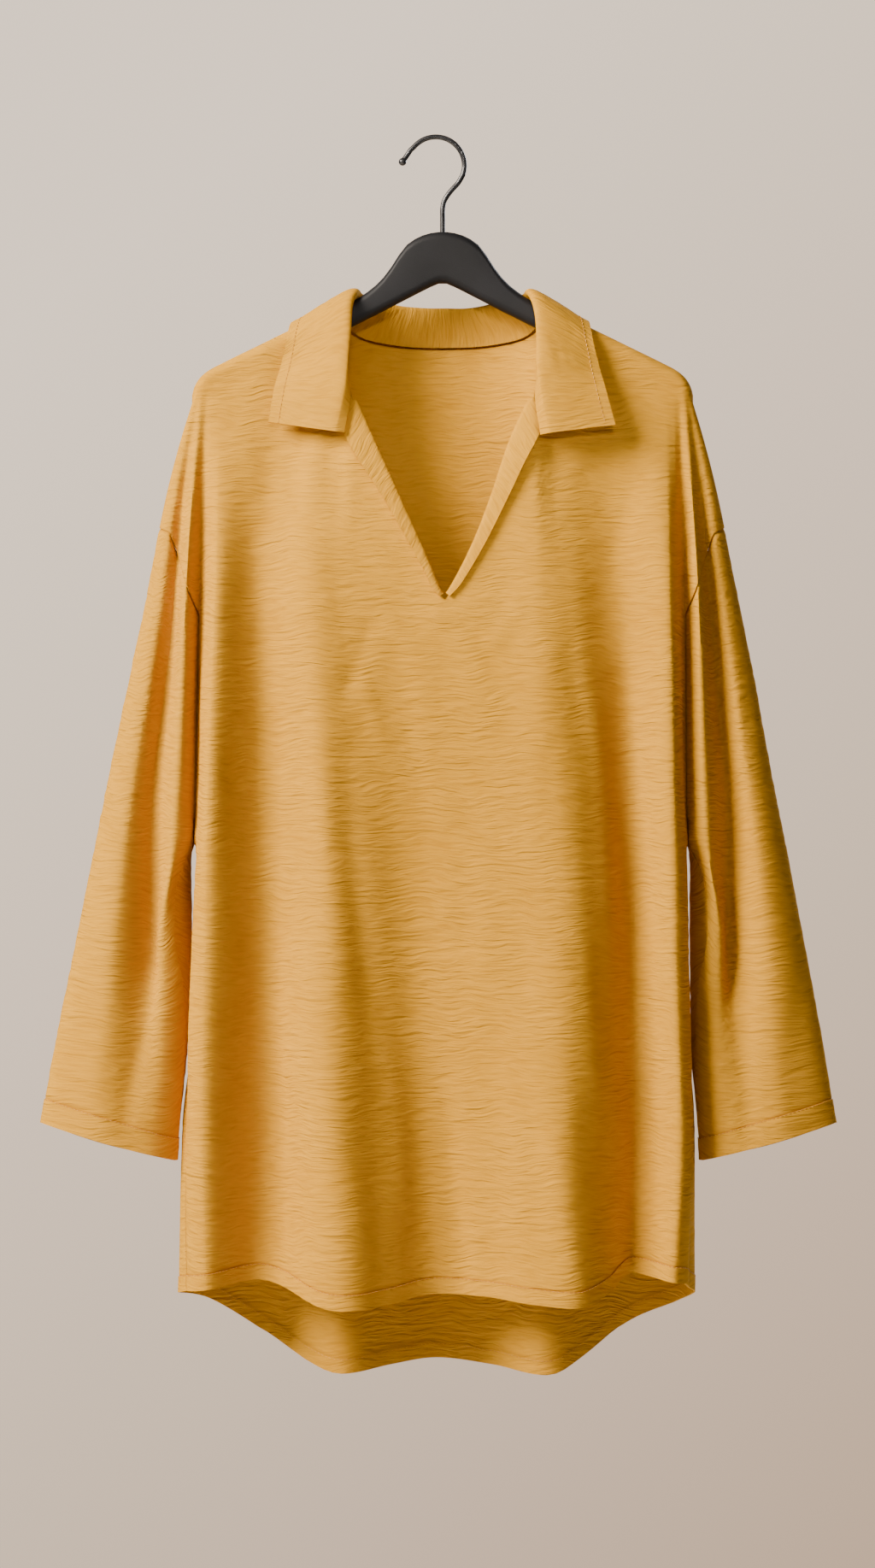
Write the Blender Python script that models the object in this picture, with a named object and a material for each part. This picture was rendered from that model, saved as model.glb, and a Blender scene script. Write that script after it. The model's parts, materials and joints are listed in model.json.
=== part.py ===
"""Loose tunic top on a hanger with a wire hook, modelled at rest in metres, +Z up.

The origin is the inner top of the hook, where a rail bears. The front faces -Y. The wearer's
right is at -X. Sizes below are in millimetres and are turned to metres by MM.

The garment is one continuous cloth surface, worked out from fold lines: each fold line has its
place across (x) and its depth (y) at a few heights, a section joins the fold lines at one height
with a smooth curve, and the pieces are cut from that surface along the seams.
"""

import math
from collections import namedtuple

import bmesh
import bpy
import numpy as np
from mathutils import Vector
from mathutils.bvhtree import BVHTree

MM = 0.001

# Driving dimensions
CENTRE_X = 5.6  # the garment and the hook's stem hang this far beside the bearing point
CLOTH = 1.2
COLLAR_WALL = 2.0
FACING_WALL = 1.4
SEAM_GAP = 0.3
SEAM_SPARE = 0.04  # more on each side of a seam, for its flat facets
NORMAL_FACING, NORMAL_STEP, NORMAL_TURNS = 0.35, 0.12, 60
HEM_WALL = 2.0
HEM_DEPTH = 12.0
CUFF_DEPTH = 17.0
SHOULDER_ROUND = 8.7  # cloth's middle round the hanger's edge
WIRE_RADIUS = 2.1
HOOK_RADIUS = 23.45
BALL_RADIUS = 3.2
SOCKET_DEPTH = 12.0
SOCKET_GAP = 0.3

# Heights
TIP_Z = -318.0  # top of the armhole
NOTCH_Z = -390.0  # where the armhole reaches the deep fold
PASSAGE_Z = -545.0
UNDERARM_Z = -577.0
WAIST_Z = -656.0
HIP_Z = -810.0
HEM_Z = -945.0
CUFF_OUTER_Z = -804.0
CUFF_INNER_Z = -836.0

RIGHT, LEFT = -1, 1
CUFF_OUTER_X, CUFF_INNER_X = 332.0, 218.0
SLEEVE_LEVELS = (TIP_Z, NOTCH_Z, UNDERARM_Z, WAIST_Z, -730.0, -820.0)

# Body fold lines from the wearer's right seam to the left. "top" says where the line starts:
# 0 hanger tip, 1 neck point, 2 gorge (or centre back), 3 bottom of the slit.
Fold = namedtuple("Fold", "name top notch_xy under_xy waist_xy hip_xy hem_xy hem_z")
FRONT = (
    Fold("seam_r", 0.098, (-199, -8), (-203, -2), (-196, 0), (-208, -6), (-208, -17), -941),
    Fold("edge_r", 0.137, (-192, -21), (-200, -21), (-204, -22), (-207, -24), (-202, -27), -940),
    Fold("ridge_r", 0.205, (-184, -31), (-190, -36), (-191, -37), (-193, -38), (-190, -35), -938),
    Fold("dip_r", 0.64, (-150, -13), (-146, -9), (-144, -7), (-144, -4), (-151, -4), -933),
    Fold("swell_r", 1.0, (-106, -31), (-96, -36), (-93, -38), (-87, -44), (-80, -48), -953),
    Fold("gorge_r", 2.0, (-78, -29), (-66, -29), (-62, -29), (-50, -31), (-46, -33), -950),
    Fold("fall_r", 2.6, (-42, -27), (-36, -21), (-32, -18), (-14, -14), (-6, -10), -944),
    Fold("centre", 3.0, (2, -29), (8, -25), (12, -23), (28, -21), (34, -20), -945),
    Fold("rise_l", 2.5, (45, -30), (55, -33), (60, -34), (68, -38), (74, -42), -949),
    Fold("swell_l", 2.0, (82, -33), (97, -40), (102, -42), (100, -46), (108, -50), -951),
    Fold("neck_l", 1.0, (108, -27), (128, -27), (133, -27), (132, -26), (133, -28), -943),
    Fold("dip_l", 0.64, (147, -13), (155, -7), (157, -5), (160, -2), (154, 0), -928),
    Fold("ridge_l", 0.205, (184, -31), (187, -36), (188, -37), (192, -38), (186, -34), -932),
    Fold("edge_l", 0.137, (191, -21), (197, -21), (200, -22), (203, -23), (195, -26), -934),
    Fold("seam_l", 0.098, (198, -8), (200, -2), (193, 0), (201.5, -6), (200, -16), -938),
)
BACK = (
    Fold("seam_r", 0.098, (-199, 12), (-203, -2), (-196, 0), (-208, -6), (-208, -17), -941),
    Fold("edge_r", 0.137, (-192, 24), (-200, 19), (-196, 17), (-213, 7), (-216, 4), -945),
    Fold("ridge_r", 0.205, (-184, 33), (-189, 41), (-187, 43), (-199, 38), (-200, 33), -951),
    Fold("crest_r", 0.64, (-150, 34), (-150, 42), (-150, 45), (-152, 50), (-153, 53), -980),
    Fold("hollow_r", 1.0, (-106, 24), (-96, 24), (-92, 23), (-86, 18), (-83, 13), -1013),
    Fold("mid_r", 1.6, (-50, 31), (-45, 36), (-44, 38), (-42, 41), (-42, 40), -1009),
    Fold("centre", 2.0, (2, 34), (0, 44), (0, 47), (-3, 54), (-5, 58), -1006),
    Fold("mid_l", 1.6, (50, 30), (48, 34), (46, 36), (44, 39), (42, 38), -1009),
    Fold("hollow_l", 1.0, (106, 25), (96, 24), (92, 23), (88, 18), (86, 12), -1014),
    Fold("crest_l", 0.64, (150, 34), (152, 42), (152, 45), (152, 51), (152, 55), -977),
    Fold("ridge_l", 0.205, (184, 33), (187, 41), (185, 43), (193, 38), (191, 34), -957),
    Fold("edge_l", 0.137, (191, 24), (197, 19), (194, 17), (206, 8), (206, 5), -945),
    Fold("seam_l", 0.098, (198, 12), (200, -2), (193, 0), (201.5, -6), (200, -16), -938),
)

# Sleeve fold lines on the wearer's right, x outwards from the centre plane.
SleeveFold = namedtuple("SleeveFold", "name top tip_xy notch_xy under_xy waist_xy elbow_xy cuff_xy")
SLEEVE_TOP = SleeveFold("top", 0.0, (231.7, 0), (246, 0), (283.6, 0), (299, 0), (314, 0), (332, 0))
SLEEVE_FRONT = (
    SLEEVE_TOP,
    SleeveFold("strip", 0.021, (222.5, -9), (232, -12), (259, -20), (268, -22), (276, -22), (289, -20)),
    SleeveFold("valley", 0.043, (215, -4.5), (220.5, -3), (237, -1), (237, 0), (246, -12), (259, -19)),
    SleeveFold("roll", 0.068, (206.5, -20), (209.5, -24), (218.5, -26), (229, -18), (228, -14), (234, -14)),
)
SLEEVE_BACK = (
    SLEEVE_TOP,
    SleeveFold("strip", 0.021, (222.5, 9), (232, 13), (259, 24), (271, 30), (283, 30), (298, 24)),
    SleeveFold("valley", 0.043, (215, 5), (220.5, 7), (234, 16), (244, 27), (253, 30), (264, 28)),
    SleeveFold("roll", 0.068, (206.5, 20), (209.5, 28), (216, 30), (222, 33), (229, 31), (239, 27)),
)
INNER_BACK = SleeveFold("inner", 0.08, (201, 16), (203, 21), (207, 13), (206, 12), (209, 14), (219.5, 14))

# Seam lines on the wearer's right: height, x outwards, depth.
SeamPoint = namedtuple("SeamPoint", "z x y")
ARMHOLE_FRONT = (
    SeamPoint(TIP_Z, 198, -8),
    SeamPoint(NOTCH_Z, 199, -8),
    SeamPoint(PASSAGE_Z, 202, -9),
    SeamPoint(-565, 202.7, -8),
    SeamPoint(-573, 203, -6),
    SeamPoint(UNDERARM_Z, 203, -1),
)
ARMHOLE_BACK = (
    SeamPoint(TIP_Z, 198, 9),
    SeamPoint(NOTCH_Z, 199, 12),
    SeamPoint(PASSAGE_Z, 202, 10),
    SeamPoint(-565, 202.7, 7),
    SeamPoint(-573, 203, 4),
    SeamPoint(UNDERARM_Z, 203, -1),
)
UNDERARM_SEAM = (
    SeamPoint(UNDERARM_Z, 203, -1),
    SeamPoint(-581, 206, -3),
    SeamPoint(-596, 213, -10),
    SeamPoint(-612, 218, -14),
    SeamPoint(-650, 219.5, -14.5),
    SeamPoint(-694, 213, -6),
    SeamPoint(-730, 212, -1),
    SeamPoint(-836, 218, 2),
)
SIDE_SEAM = (
    SeamPoint(UNDERARM_Z, 203, -1),
    SeamPoint(-581, 200.5, -1),
    SeamPoint(-612, 197, -0.5),
    SeamPoint(WAIST_Z, 196, 0),
    SeamPoint(-730, 201, -3),
    SeamPoint(HIP_Z, 208.5, -6),
    SeamPoint(-866, 209.5, -12),
    SeamPoint(HEM_Z, 208, -17),
)
# The wearer's left side hangs a little closer in: height, shift.
LEFT_SHIFT = ((TIP_Z, 1), (NOTCH_Z, 1), (UNDERARM_Z, 3), (WAIST_Z, 3), (HIP_Z, 6.5), (HEM_Z, 8))

# Height of the armhole on each sleeve fold line, top to the deep fold.
ARMHOLE_HEIGHT = (TIP_Z, -323.0, -341.0, -366.0, NOTCH_Z)

# Cloth's middle along the shoulder, x outwards: neck point to hanger tip.
SHOULDER = ((88, -139), (121, -154.6), (150, -168.8), (181, -184), (191, -189.3), (197, -194),
            (201, -199), (203.6, -204.5), (205, -210))
NECK_FRONT = ((88, 0, -139), (86.6, -6.2, -140.8), (84.6, -9.2, -147.2), (80, -18, -180), (74, -26, -213))
NECK_BACK = ((88, 0, -139), (86.6, 6.2, -140.8), (84.4, 9.4, -147), (71, 24, -160), (38, 35, -167),
             (0, 38, -168.5))
# Edges of the slit, gorge to bottom: x, y, z.
SLIT_RIGHT = ((-74, -26, -213), (-37, -28.5, -295), (-13, -29, -349), (-3, -29, -373), (2, -29, -378))
SLIT_LEFT = ((74, -26, -213), (57, -28, -251), (43, -28.5, -293), (26, -29, -336), (7, -29, -372),
             (2, -29, -378))

# Rows of the cloth below the armhole's notch, and cells between fold lines.
SHARED_ROWS = (NOTCH_Z, -430, -472, -512, PASSAGE_Z, -565, -573, UNDERARM_Z, -581, -592, -612, -645, -685, -735)
BODY_ROWS = SHARED_ROWS + (-790,)
SLEEVE_ROWS = SHARED_ROWS + (-785,)
LOWER_SHARES = (0.35, 0.7, 1.0)  # body rows from the last of those down to the hem's band
BAND_STEP = 1.0  # from the last row of thin cloth to the band's first
SLOPE_STEP = 1.0  # how far below a line's end its slope is read
SHOULDER_LEAN, TIP_SPREAD = 0.15, 0.35  # least fall of a line off the hanger, and its spread at the tip
ARC_TURNS = (30, 60, 90)  # degrees of the rows round the hanger's edge
NECK_DROPS = ((2.0, 0.08), (5.0, 0.16), (9.0, 0.25))  # first rows: millimetres, or most of the line
UPPER_ROWS = 6  # below the rows that round the hanger's edge
OUTBOARD_CELLS = (3, 2, 3, 3)
FRONT_CELLS = (2, 2, 3, 2, 4, 3, 2, 2, 3, 4, 2, 3, 2, 2)
BACK_CELLS = (2, 2, 3, 2, 4, 2, 2, 4, 2, 3, 2, 2)
NECK_CROWDING = 1.8  # brings the columns together where the neckline crosses the hanger

# Collar sections from the wearer's right front end round the back: seam, roll and outer edge.
CollarSection = namedtuple("CollarSection", "name seam roll edge")
COLLAR = (
    CollarSection("end_r", (-80, -33.5, -243), (-87, -36, -242.5), (-141.5, -24, -234)),
    CollarSection("gorge_r", (-75.5, -32, -214), (-80, -37, -207), (-136.5, -19, -205)),
    CollarSection("front_r", (-79.5, -21, -180), (-76, -31, -168), (-131, -15.5, -184)),
    CollarSection("side_r", (-83.5, -12.5, -145), (-74, -15.5, -135), (-127, -15, -166)),
    CollarSection("shoulder_r", (-86, 0, -135.6), (-69.5, 0, -124.8), (-123, 0, -151)),
    CollarSection("behind_r", (-82.5, 12.5, -144.5), (-66, 14, -126.5), (-119, 16, -163.5)),
    CollarSection("nape_r", (-70, 25, -158), (-52, 25, -130), (-98, 38, -181)),
    CollarSection("back_r", (-38, 36, -165), (-30, 31, -134), (-52, 47, -188)),
    CollarSection("back", (0, 39, -166.5), (0, 33.5, -135.5), (0, 50, -190)),
    CollarSection("back_l", (38, 36, -165), (30, 31, -134), (52, 47, -188)),
    CollarSection("nape_l", (70, 25, -158), (52, 25, -130), (98, 38, -181)),
    CollarSection("behind_l", (82.5, 12.5, -144.5), (66, 14, -126.5), (118, 16.5, -163)),
    CollarSection("shoulder_l", (86, 0, -135.6), (69.5, 0, -124.8), (119, 0, -149.3)),
    CollarSection("side_l", (83.5, -12.5, -145), (74, -16, -135.5), (121.5, -18, -164)),
    CollarSection("front_l", (79.5, -21, -180), (77.5, -32, -168), (126, -24, -184)),
    CollarSection("gorge_l", (75.5, -32, -214), (79.5, -39, -207), (131.5, -30, -206)),
    CollarSection("end_l", (79.5, -34, -245), (87, -39, -244), (140, -34, -237)),
)
COLLAR_COLUMNS = 2  # cells between sections
STAND_CELLS, LEAF_CELLS = 4, 6
STAND_FULLNESS, LEAF_FULLNESS = 0.55, 0.42  # how round the roll is, as a share of each length

# Slit facings: where the lapel's outer edge lies off the slit's edge, from the gorge down.
LapelSection = namedtuple("LapelSection", "along width lift")
LAPEL_RIGHT = (LapelSection(0.20, 18, 4.0), LapelSection(0.5, 10, 3.4), LapelSection(0.93, 3, 2.8))
LAPEL_LEFT = (LapelSection(0.20, 17, 7.0), LapelSection(0.5, 10, 5.0), LapelSection(0.93, 3, 2.8))
LAPEL_SPAN = (0.02, 0.92)  # share of the slit that the facing binds
FACING_ROLL = 2.4
FACING_INSIDE = 9.0
FACING_INSET = 0.4  # the roll's middle lies this far in from the slit's edge
FACING_PROUD = 0.6  # and the roll stands out this much more than it is deep
LAPEL_SHARES = (0.12, 0.35, 0.68, 1.0)
RAY_START_Y = -500.0

# Hanger sections: x outwards, top edge, bottom edge, half thickness.
HangerSection = namedtuple("HangerSection", "x top bottom half")
HANGER = (
    HangerSection(0, -75.5, -116.8, 7.0),
    HangerSection(11, -77.0, -121.5, 7.0),
    HangerSection(21, -80.8, -126.6, 7.0),
    HangerSection(30, -87.0, -131.2, 7.0),
    HangerSection(37, -96.5, -134.8, 7.0),
    HangerSection(44, -107.5, -138.4, 7.0),
    HangerSection(52, -117.0, -142.5, 7.0),
    HangerSection(61, -124.6, -147.0, 7.0),
    HangerSection(72, -131.8, -152.6, 7.0),
    HangerSection(88, -140.6, -160.0, 7.0),
    HangerSection(121, -156.2, -175.0, 7.0),
    HangerSection(150, -170.4, -188.5, 7.0),
    HangerSection(181, -185.6, -201.5, 7.0),
    HangerSection(189, -190.2, -204.5, 6.2),
    HangerSection(194, -194.6, -205.5, 4.6),
    HangerSection(197, -199.0, -205.0, 2.8),
)
HANGER_CORNER_STEPS = 3
HANGER_CORNER = 6.6


def monotone(levels, values, level):
    """Smooth interpolation through (levels, values) that never overshoots."""
    s, v = np.array(levels, float), np.array(values, float)
    if s[0] > s[-1]:
        s, v = s[::-1], v[::-1]
    h, d = np.diff(s), np.diff(v) / np.diff(s)
    m = np.zeros_like(v)
    same = d[:-1] * d[1:] > 0
    a, b = 2 * h[1:] + h[:-1], h[1:] + 2 * h[:-1]
    safe = np.where(same, d[:-1] * d[1:], 1.0)
    m[1:-1] = np.where(same, (a + b) * safe / (a * d[1:] + b * d[:-1] + 1e-30 * ~same), 0.0)
    m[0], m[-1] = d[0], d[-1]
    x = min(max(level, s[0]), s[-1])
    i = min(int(np.searchsorted(s, x, side="right")) - 1, len(h) - 1)
    t = (x - s[i]) / h[i]
    return ((1 + 2 * t) * (1 - t) ** 2 * v[i] + t * (1 - t) ** 2 * h[i] * m[i]
            + t * t * (3 - 2 * t) * v[i + 1] - t * t * (1 - t) * h[i] * m[i + 1])


def smoothstep(share):
    share = min(max(share, 0.0), 1.0)
    return share * share * (3 - 2 * share)


def spline(knots, at):
    """Points of a centripetal Catmull-Rom curve; knots[0] and knots[-1] only give end slopes."""
    knots = np.array(knots, float)
    gaps = np.maximum(np.linalg.norm(np.diff(knots, axis=0), axis=1), 1e-6) ** 0.5
    t = np.concatenate([[0.0], np.cumsum(gaps)])
    points = []
    for place in at:
        i = min(int(place), len(knots) - 4) + 1
        share, span = place - (i - 1), t[i + 1] - t[i]
        slopes = []
        for j in (i, i + 1):
            before = (knots[j] - knots[j - 1]) / (t[j] - t[j - 1])
            after = (knots[j + 1] - knots[j]) / (t[j + 1] - t[j])
            across = (knots[j + 1] - knots[j - 1]) / (t[j + 1] - t[j - 1])
            slopes.append((before - across + after) * span)
        points.append((1 + 2 * share) * (1 - share) ** 2 * knots[i] + share * (1 - share) ** 2 * slopes[0]
                      + share * share * (3 - 2 * share) * knots[i + 1]
                      - share * share * (1 - share) * slopes[1])
    return np.array(points)


def along_line(points, share):
    """Point at a share of a polyline's length, smoothed through its corners."""
    points = [np.array(p, float) for p in points]
    ends = [2 * points[0] - points[1]] + points + [2 * points[-1] - points[-2]]
    lengths = np.concatenate([[0.0], np.cumsum([np.linalg.norm(b - a) for a, b in zip(points, points[1:])])])
    target = min(max(share, 0.0), 1.0) * lengths[-1]
    i = min(int(np.searchsorted(lengths, target, side="right")) - 1, len(points) - 2)
    return spline(ends, [i + (target - lengths[i]) / (lengths[i + 1] - lengths[i])])[0]


def left_shift(z):
    return monotone([r[0] for r in LEFT_SHIFT], [r[1] for r in LEFT_SHIFT], z)


def seam_at(line, side, z):
    """A seam line's point at height z, as (x, y)."""
    x = monotone([p.z for p in line], [p.x for p in line], z)
    y = monotone([p.z for p in line], [p.y for p in line], z)
    return side * (x - (left_shift(z) if side == LEFT else 0.0)), y


def body_fold_at(fold, z):
    levels = (NOTCH_Z, UNDERARM_Z, WAIST_Z, HIP_Z, HEM_Z)
    pairs = (fold.notch_xy, fold.under_xy, fold.waist_xy, fold.hip_xy, fold.hem_xy)
    return tuple(monotone(levels, [p[i] for p in pairs], z) for i in (0, 1))


def sleeve_fold_at(fold, side, z):
    pairs = fold[2:]
    x, y = (monotone(SLEEVE_LEVELS, [p[i] for p in pairs], z) for i in (0, 1))
    return side * (x - (left_shift(z) if side == LEFT else 0.0)), y


def armhole_line(face):
    return ARMHOLE_FRONT if face == "front" else ARMHOLE_BACK


def sleeve_folds(face):
    return SLEEVE_FRONT if face == "front" else SLEEVE_BACK


def parting(z):
    """0 where sleeve and body are one surface above the underarm, 1 where they are apart."""
    return smoothstep((z - PASSAGE_Z) / (UNDERARM_Z - PASSAGE_Z))


def blend(a, b, share):
    return tuple(p * (1 - share) + q * share for p, q in zip(a, b))


def body_section(face, z, at):
    """Points of the front or back panel's section at height z, by places along its fold lines."""
    folds = FRONT if face == "front" else BACK
    across = BACK if face == "front" else FRONT
    knots = [body_fold_at(f, z) for f in folds]
    ends = []
    for side, index in ((RIGHT, 0), (LEFT, -1)):
        knots[index] = seam_at(SIDE_SEAM if z < UNDERARM_Z else armhole_line(face), side, z)
        roll = sleeve_fold_at(sleeve_folds(face)[3], side, z)
        round_side = body_fold_at(across[1 if side == RIGHT else -2], z)
        ends.append(blend(roll, round_side, parting(z)))
    return spline([ends[0]] + knots + [ends[1]], at)


def sleeve_section(face, side, z, at):
    """Points of the sleeve's front or back half: 0 outer fold, 4 the seam by the body."""
    other = SLEEVE_BACK if face == "front" else SLEEVE_FRONT
    knots = [sleeve_fold_at(f, side, z) for f in sleeve_folds(face)]
    lower = UNDERARM_SEAM if z < UNDERARM_Z else armhole_line(face)
    seam = seam_at(lower, side, z)
    inner = sleeve_fold_at(INNER_BACK, side, z)
    folds = FRONT if face == "front" else BACK
    edge = body_fold_at(folds[1 if side == RIGHT else -2], z)
    if face == "front":
        knots += [seam, blend(edge, inner, parting(z))]
        return spline([sleeve_fold_at(other[1], side, z)] + knots, at)
    roll = sleeve_fold_at(SLEEVE_FRONT[3], side, z)
    inner = blend(blend(knots[-1], seam, 0.5), inner, max(parting(z), 0.25))
    knots += [inner, seam, blend(edge, roll, parting(z))]
    spots = [p if p <= 3 else 3 + (p - 3) * 2 for p in at]
    return spline([sleeve_fold_at(other[1], side, z)] + knots, spots)


def shoulder_point(top, side):
    """Cloth's middle on top of the shoulder, from the hanger's tip (0) to the neck point (1)."""
    x = SHOULDER[-1][0] + (SHOULDER[0][0] - SHOULDER[-1][0]) * top
    z = monotone([p[0] for p in SHOULDER], [p[1] for p in SHOULDER], x)
    return np.array([side * x, 0.0, z])


def top_point(face, side, top):
    """Start of a grain line: on the shoulder, the neckline or the slit."""
    if top <= 1:
        return shoulder_point(top, side)
    if face == "back":
        point = along_line(NECK_BACK, top - 1)
        return np.array([side * point[0], point[1], point[2]])
    if top <= 2:
        point = along_line(NECK_FRONT, top - 1)
        return np.array([side * point[0], point[1], point[2]])
    return along_line(SLIT_RIGHT if side == RIGHT else SLIT_LEFT, top - 2)


def upper_line(face, side, top, low, slope, rows):
    """A grain line from its start down to the point low, which it meets with the given slope."""
    start = top_point(face, side, top)
    sign = -1.0 if face == "front" else 1.0
    points = [start]
    if top <= 1:
        open_share = min(top / FRONT[0].top, 1.0)
        depth = SHOULDER_ROUND * math.sqrt(1 - (1 - open_share) ** 2)
        for angle in (math.radians(turn) for turn in ARC_TURNS):
            y = sign * depth * math.sin(angle)
            drop = SHOULDER_ROUND * (1 - math.cos(angle))
            points.append(start + np.array([0.0, y, -drop]))
    elif abs(start[1]) < SHOULDER_ROUND:
        begin_turn = math.asin(abs(start[1]) / SHOULDER_ROUND)
        for step in range(1, len(ARC_TURNS) + 1):
            turn = begin_turn + (math.pi / 2 - begin_turn) * step / len(ARC_TURNS)
            y = sign * SHOULDER_ROUND * math.sin(turn)
            drop = SHOULDER_ROUND * (math.cos(begin_turn) - math.cos(turn))
            points.append(np.array([start[0], y, start[2] - drop]))
    else:
        length = np.linalg.norm(low - start)
        for drop, share in NECK_DROPS:
            points.append(start + (low - start) * min(drop / length, share))
    begin = points[-1]
    span = begin[2] - low[2]
    inward = smoothstep((top - FRONT[2].top) / (1 - FRONT[2].top))
    lean = SHOULDER_LEAN + (1 - SHOULDER_LEAN) * inward
    first = (low - begin) * np.array([1.0, lean if top <= 1 else 1.0, 1.0])
    if top < FRONT[0].top:
        first[0] *= 1.0 + TIP_SPREAD * (1 - top / FRONT[0].top)
    last = np.array([slope[0] * span, slope[1] * span, low[2] - begin[2]])
    for row in range(1, rows + 1):
        t = row / rows
        points.append((1 + 2 * t) * (1 - t) ** 2 * begin + t * (1 - t) ** 2 * first
                      + t * t * (3 - 2 * t) * low - t * t * (1 - t) * last)
    return points


def places(cells):
    """Places along the fold lines, with this many cells from each to the next."""
    found = [i + k / n for i, n in enumerate(cells) for k in range(n)]
    return found + [float(len(cells))]


def armhole_height(place):
    return monotone(range(5), ARMHOLE_HEIGHT, place)


def cuff_height(face, x):
    """Height of the cuff's edge at x outwards from the centre plane."""
    share = (CUFF_OUTER_X - abs(x)) / (CUFF_OUTER_X - CUFF_INNER_X)
    dip = 6.0 * math.sin(math.pi * min(max(share, 0.0), 1.0)) if face == "back" else 0.0
    return CUFF_OUTER_Z + (CUFF_INNER_Z - CUFF_OUTER_Z) * min(max(share, 0.0), 1.0) - dip


def hem_height(folds, place):
    return monotone(range(len(folds)), [f.hem_z for f in folds], place)


def top_along(folds, place):
    """Where the grain line at this place starts, as the folds' "top" has it."""
    i = min(int(place), len(folds) - 2)
    a, b, share = folds[i].top, folds[i + 1].top, place - i
    if a == 1.0 < b:
        return a + (b - a) * share ** NECK_CROWDING
    if b == 1.0 < a:
        return b + (a - b) * (1 - share) ** NECK_CROWDING
    return a + (b - a) * share


def body_panel(face):
    """Grid of the panel: columns of points from the wearer's right to the left, and edge walls."""
    folds = FRONT if face == "front" else BACK
    cells = FRONT_CELLS if face == "front" else BACK_CELLS
    middle = [f.name for f in folds].index("centre")
    columns = []
    outboard = places(OUTBOARD_CELLS)[:-1]
    for side in (RIGHT, LEFT):
        group = []
        for place in outboard:
            z = armhole_height(place)
            tops = sleeve_folds(face) + (folds[0],)
            low = np.array([*sleeve_section(face, side, z, [place])[0], z])
            below = sleeve_section(face, side, z - SLOPE_STEP, [place])[0]
            slope = (below - low[:2]) / SLOPE_STEP
            group.append(upper_line(face, side, top_along(tops, place), low, slope, UPPER_ROWS))
        columns.append(group)
    main = []
    for place in places(cells):
        side = RIGHT if place <= middle else LEFT
        low = np.array([*body_section(face, NOTCH_Z, [place])[0], NOTCH_Z])
        slope = (body_section(face, NOTCH_Z - SLOPE_STEP, [place])[0] - low[:2]) / SLOPE_STEP
        line = upper_line(face, side, top_along(folds, place), low, slope, UPPER_ROWS)
        hem = hem_height(folds, place)
        last = BODY_ROWS[-1]
        drop = hem + HEM_DEPTH + BAND_STEP - last
        levels = list(BODY_ROWS[1:]) + [last + drop * s for s in LOWER_SHARES]
        levels += [hem + HEM_DEPTH, hem]
        for z in levels:
            line.append(np.array([*body_section(face, z, [place])[0], z]))
        main.append(line)
    return columns[0] + main + columns[1][::-1]


def sleeve(side):
    """Grid of the sleeve: columns round the tube, from the seam over the back, outer fold, front."""
    halves = {}
    for face in ("front", "back"):
        group = []
        for place in places(OUTBOARD_CELLS):
            top = armhole_height(place)
            x = abs(sleeve_section(face, side, CUFF_OUTER_Z, [place])[0][0])
            cuff = cuff_height(face, x + (left_shift(CUFF_OUTER_Z) if side == LEFT else 0.0))
            turn_up = CUFF_INNER_Z + CUFF_DEPTH
            rows = list(SLEEVE_ROWS) + [turn_up + BAND_STEP, turn_up, CUFF_INNER_Z]
            scale = (cuff - top) / (CUFF_INNER_Z - NOTCH_Z)
            heights = [top + (z - NOTCH_Z) * scale for z in rows]
            group.append([np.array([*sleeve_section(face, side, z, [place])[0], z]) for z in heights])
        halves[face] = group
    ring = halves["back"][::-1] + halves["front"][1:]
    return ring if side == RIGHT else ring[::-1]


def grid_faces(columns):
    """Points and quads of a grid whose columns may differ in length, facing out of the garment."""
    points, index = [], {}
    for c, column in enumerate(columns):
        for r, point in enumerate(column):
            index[c, r] = len(points)
            points.append(point)
    faces = []
    for c in range(len(columns) - 1):
        for r in range(min(len(columns[c]), len(columns[c + 1])) - 1):
            faces.append((index[c, r], index[c, r + 1], index[c + 1, r + 1], index[c + 1, r]))
    return np.array(points), faces


def split_quad(points, ring):
    """A quad as two triangles along its shorter diagonal, so that both sides of a wall match."""
    if len(ring) == 3:
        return [ring]
    a, b, c, d = ring
    if np.linalg.norm(points[a] - points[c]) <= np.linalg.norm(points[b] - points[d]):
        return [(a, b, c), (a, c, d)]
    return [(a, b, d), (b, c, d)]


def merged(points, faces):
    """The same surface with points in one place joined and collapsed faces dropped."""
    keys, kept, where = {}, [], []
    for point in points:
        key = tuple(np.round(point, 3))
        if key not in keys:
            keys[key] = len(kept)
            kept.append(point)
        where.append(keys[key])
    solid = []
    for face in faces:
        ring = []
        for v in (where[i] for i in face):
            if v not in ring:
                ring.append(v)
        if len(ring) > 2:
            solid += split_quad(kept, tuple(ring))
    return np.array(kept), solid


def face_normal(points, face):
    ring = points[list(face)]
    return 0.5 * sum(np.cross(ring[i] - ring[0], ring[i + 1] - ring[0]) for i in range(1, len(ring) - 1))


def fair_normal(around):
    """Mean of the unit normals around a place, turned until it faces out of every face there."""
    normal = np.mean(around, axis=0)
    for _ in range(NORMAL_TURNS):
        normal = normal / np.linalg.norm(normal)
        facing = around @ normal
        if facing.min() >= NORMAL_FACING:
            break
        normal = normal + NORMAL_STEP * around[int(facing.argmin())]
    return normal / np.linalg.norm(normal)


def shared_normals(surfaces):
    """One normal for each place, over all the cloth that meets there."""
    found = {}
    for points, faces in surfaces:
        for face in faces:
            normal = face_normal(points, face)
            normal = normal / np.linalg.norm(normal)
            for v in face:
                found.setdefault(tuple(np.round(points[v], 3)), []).append(normal)
    return {key: fair_normal(np.array(around)) for key, around in found.items()}


def normals_at(points, normals):
    return np.array([normals[tuple(np.round(p, 3))] for p in points])


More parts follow.
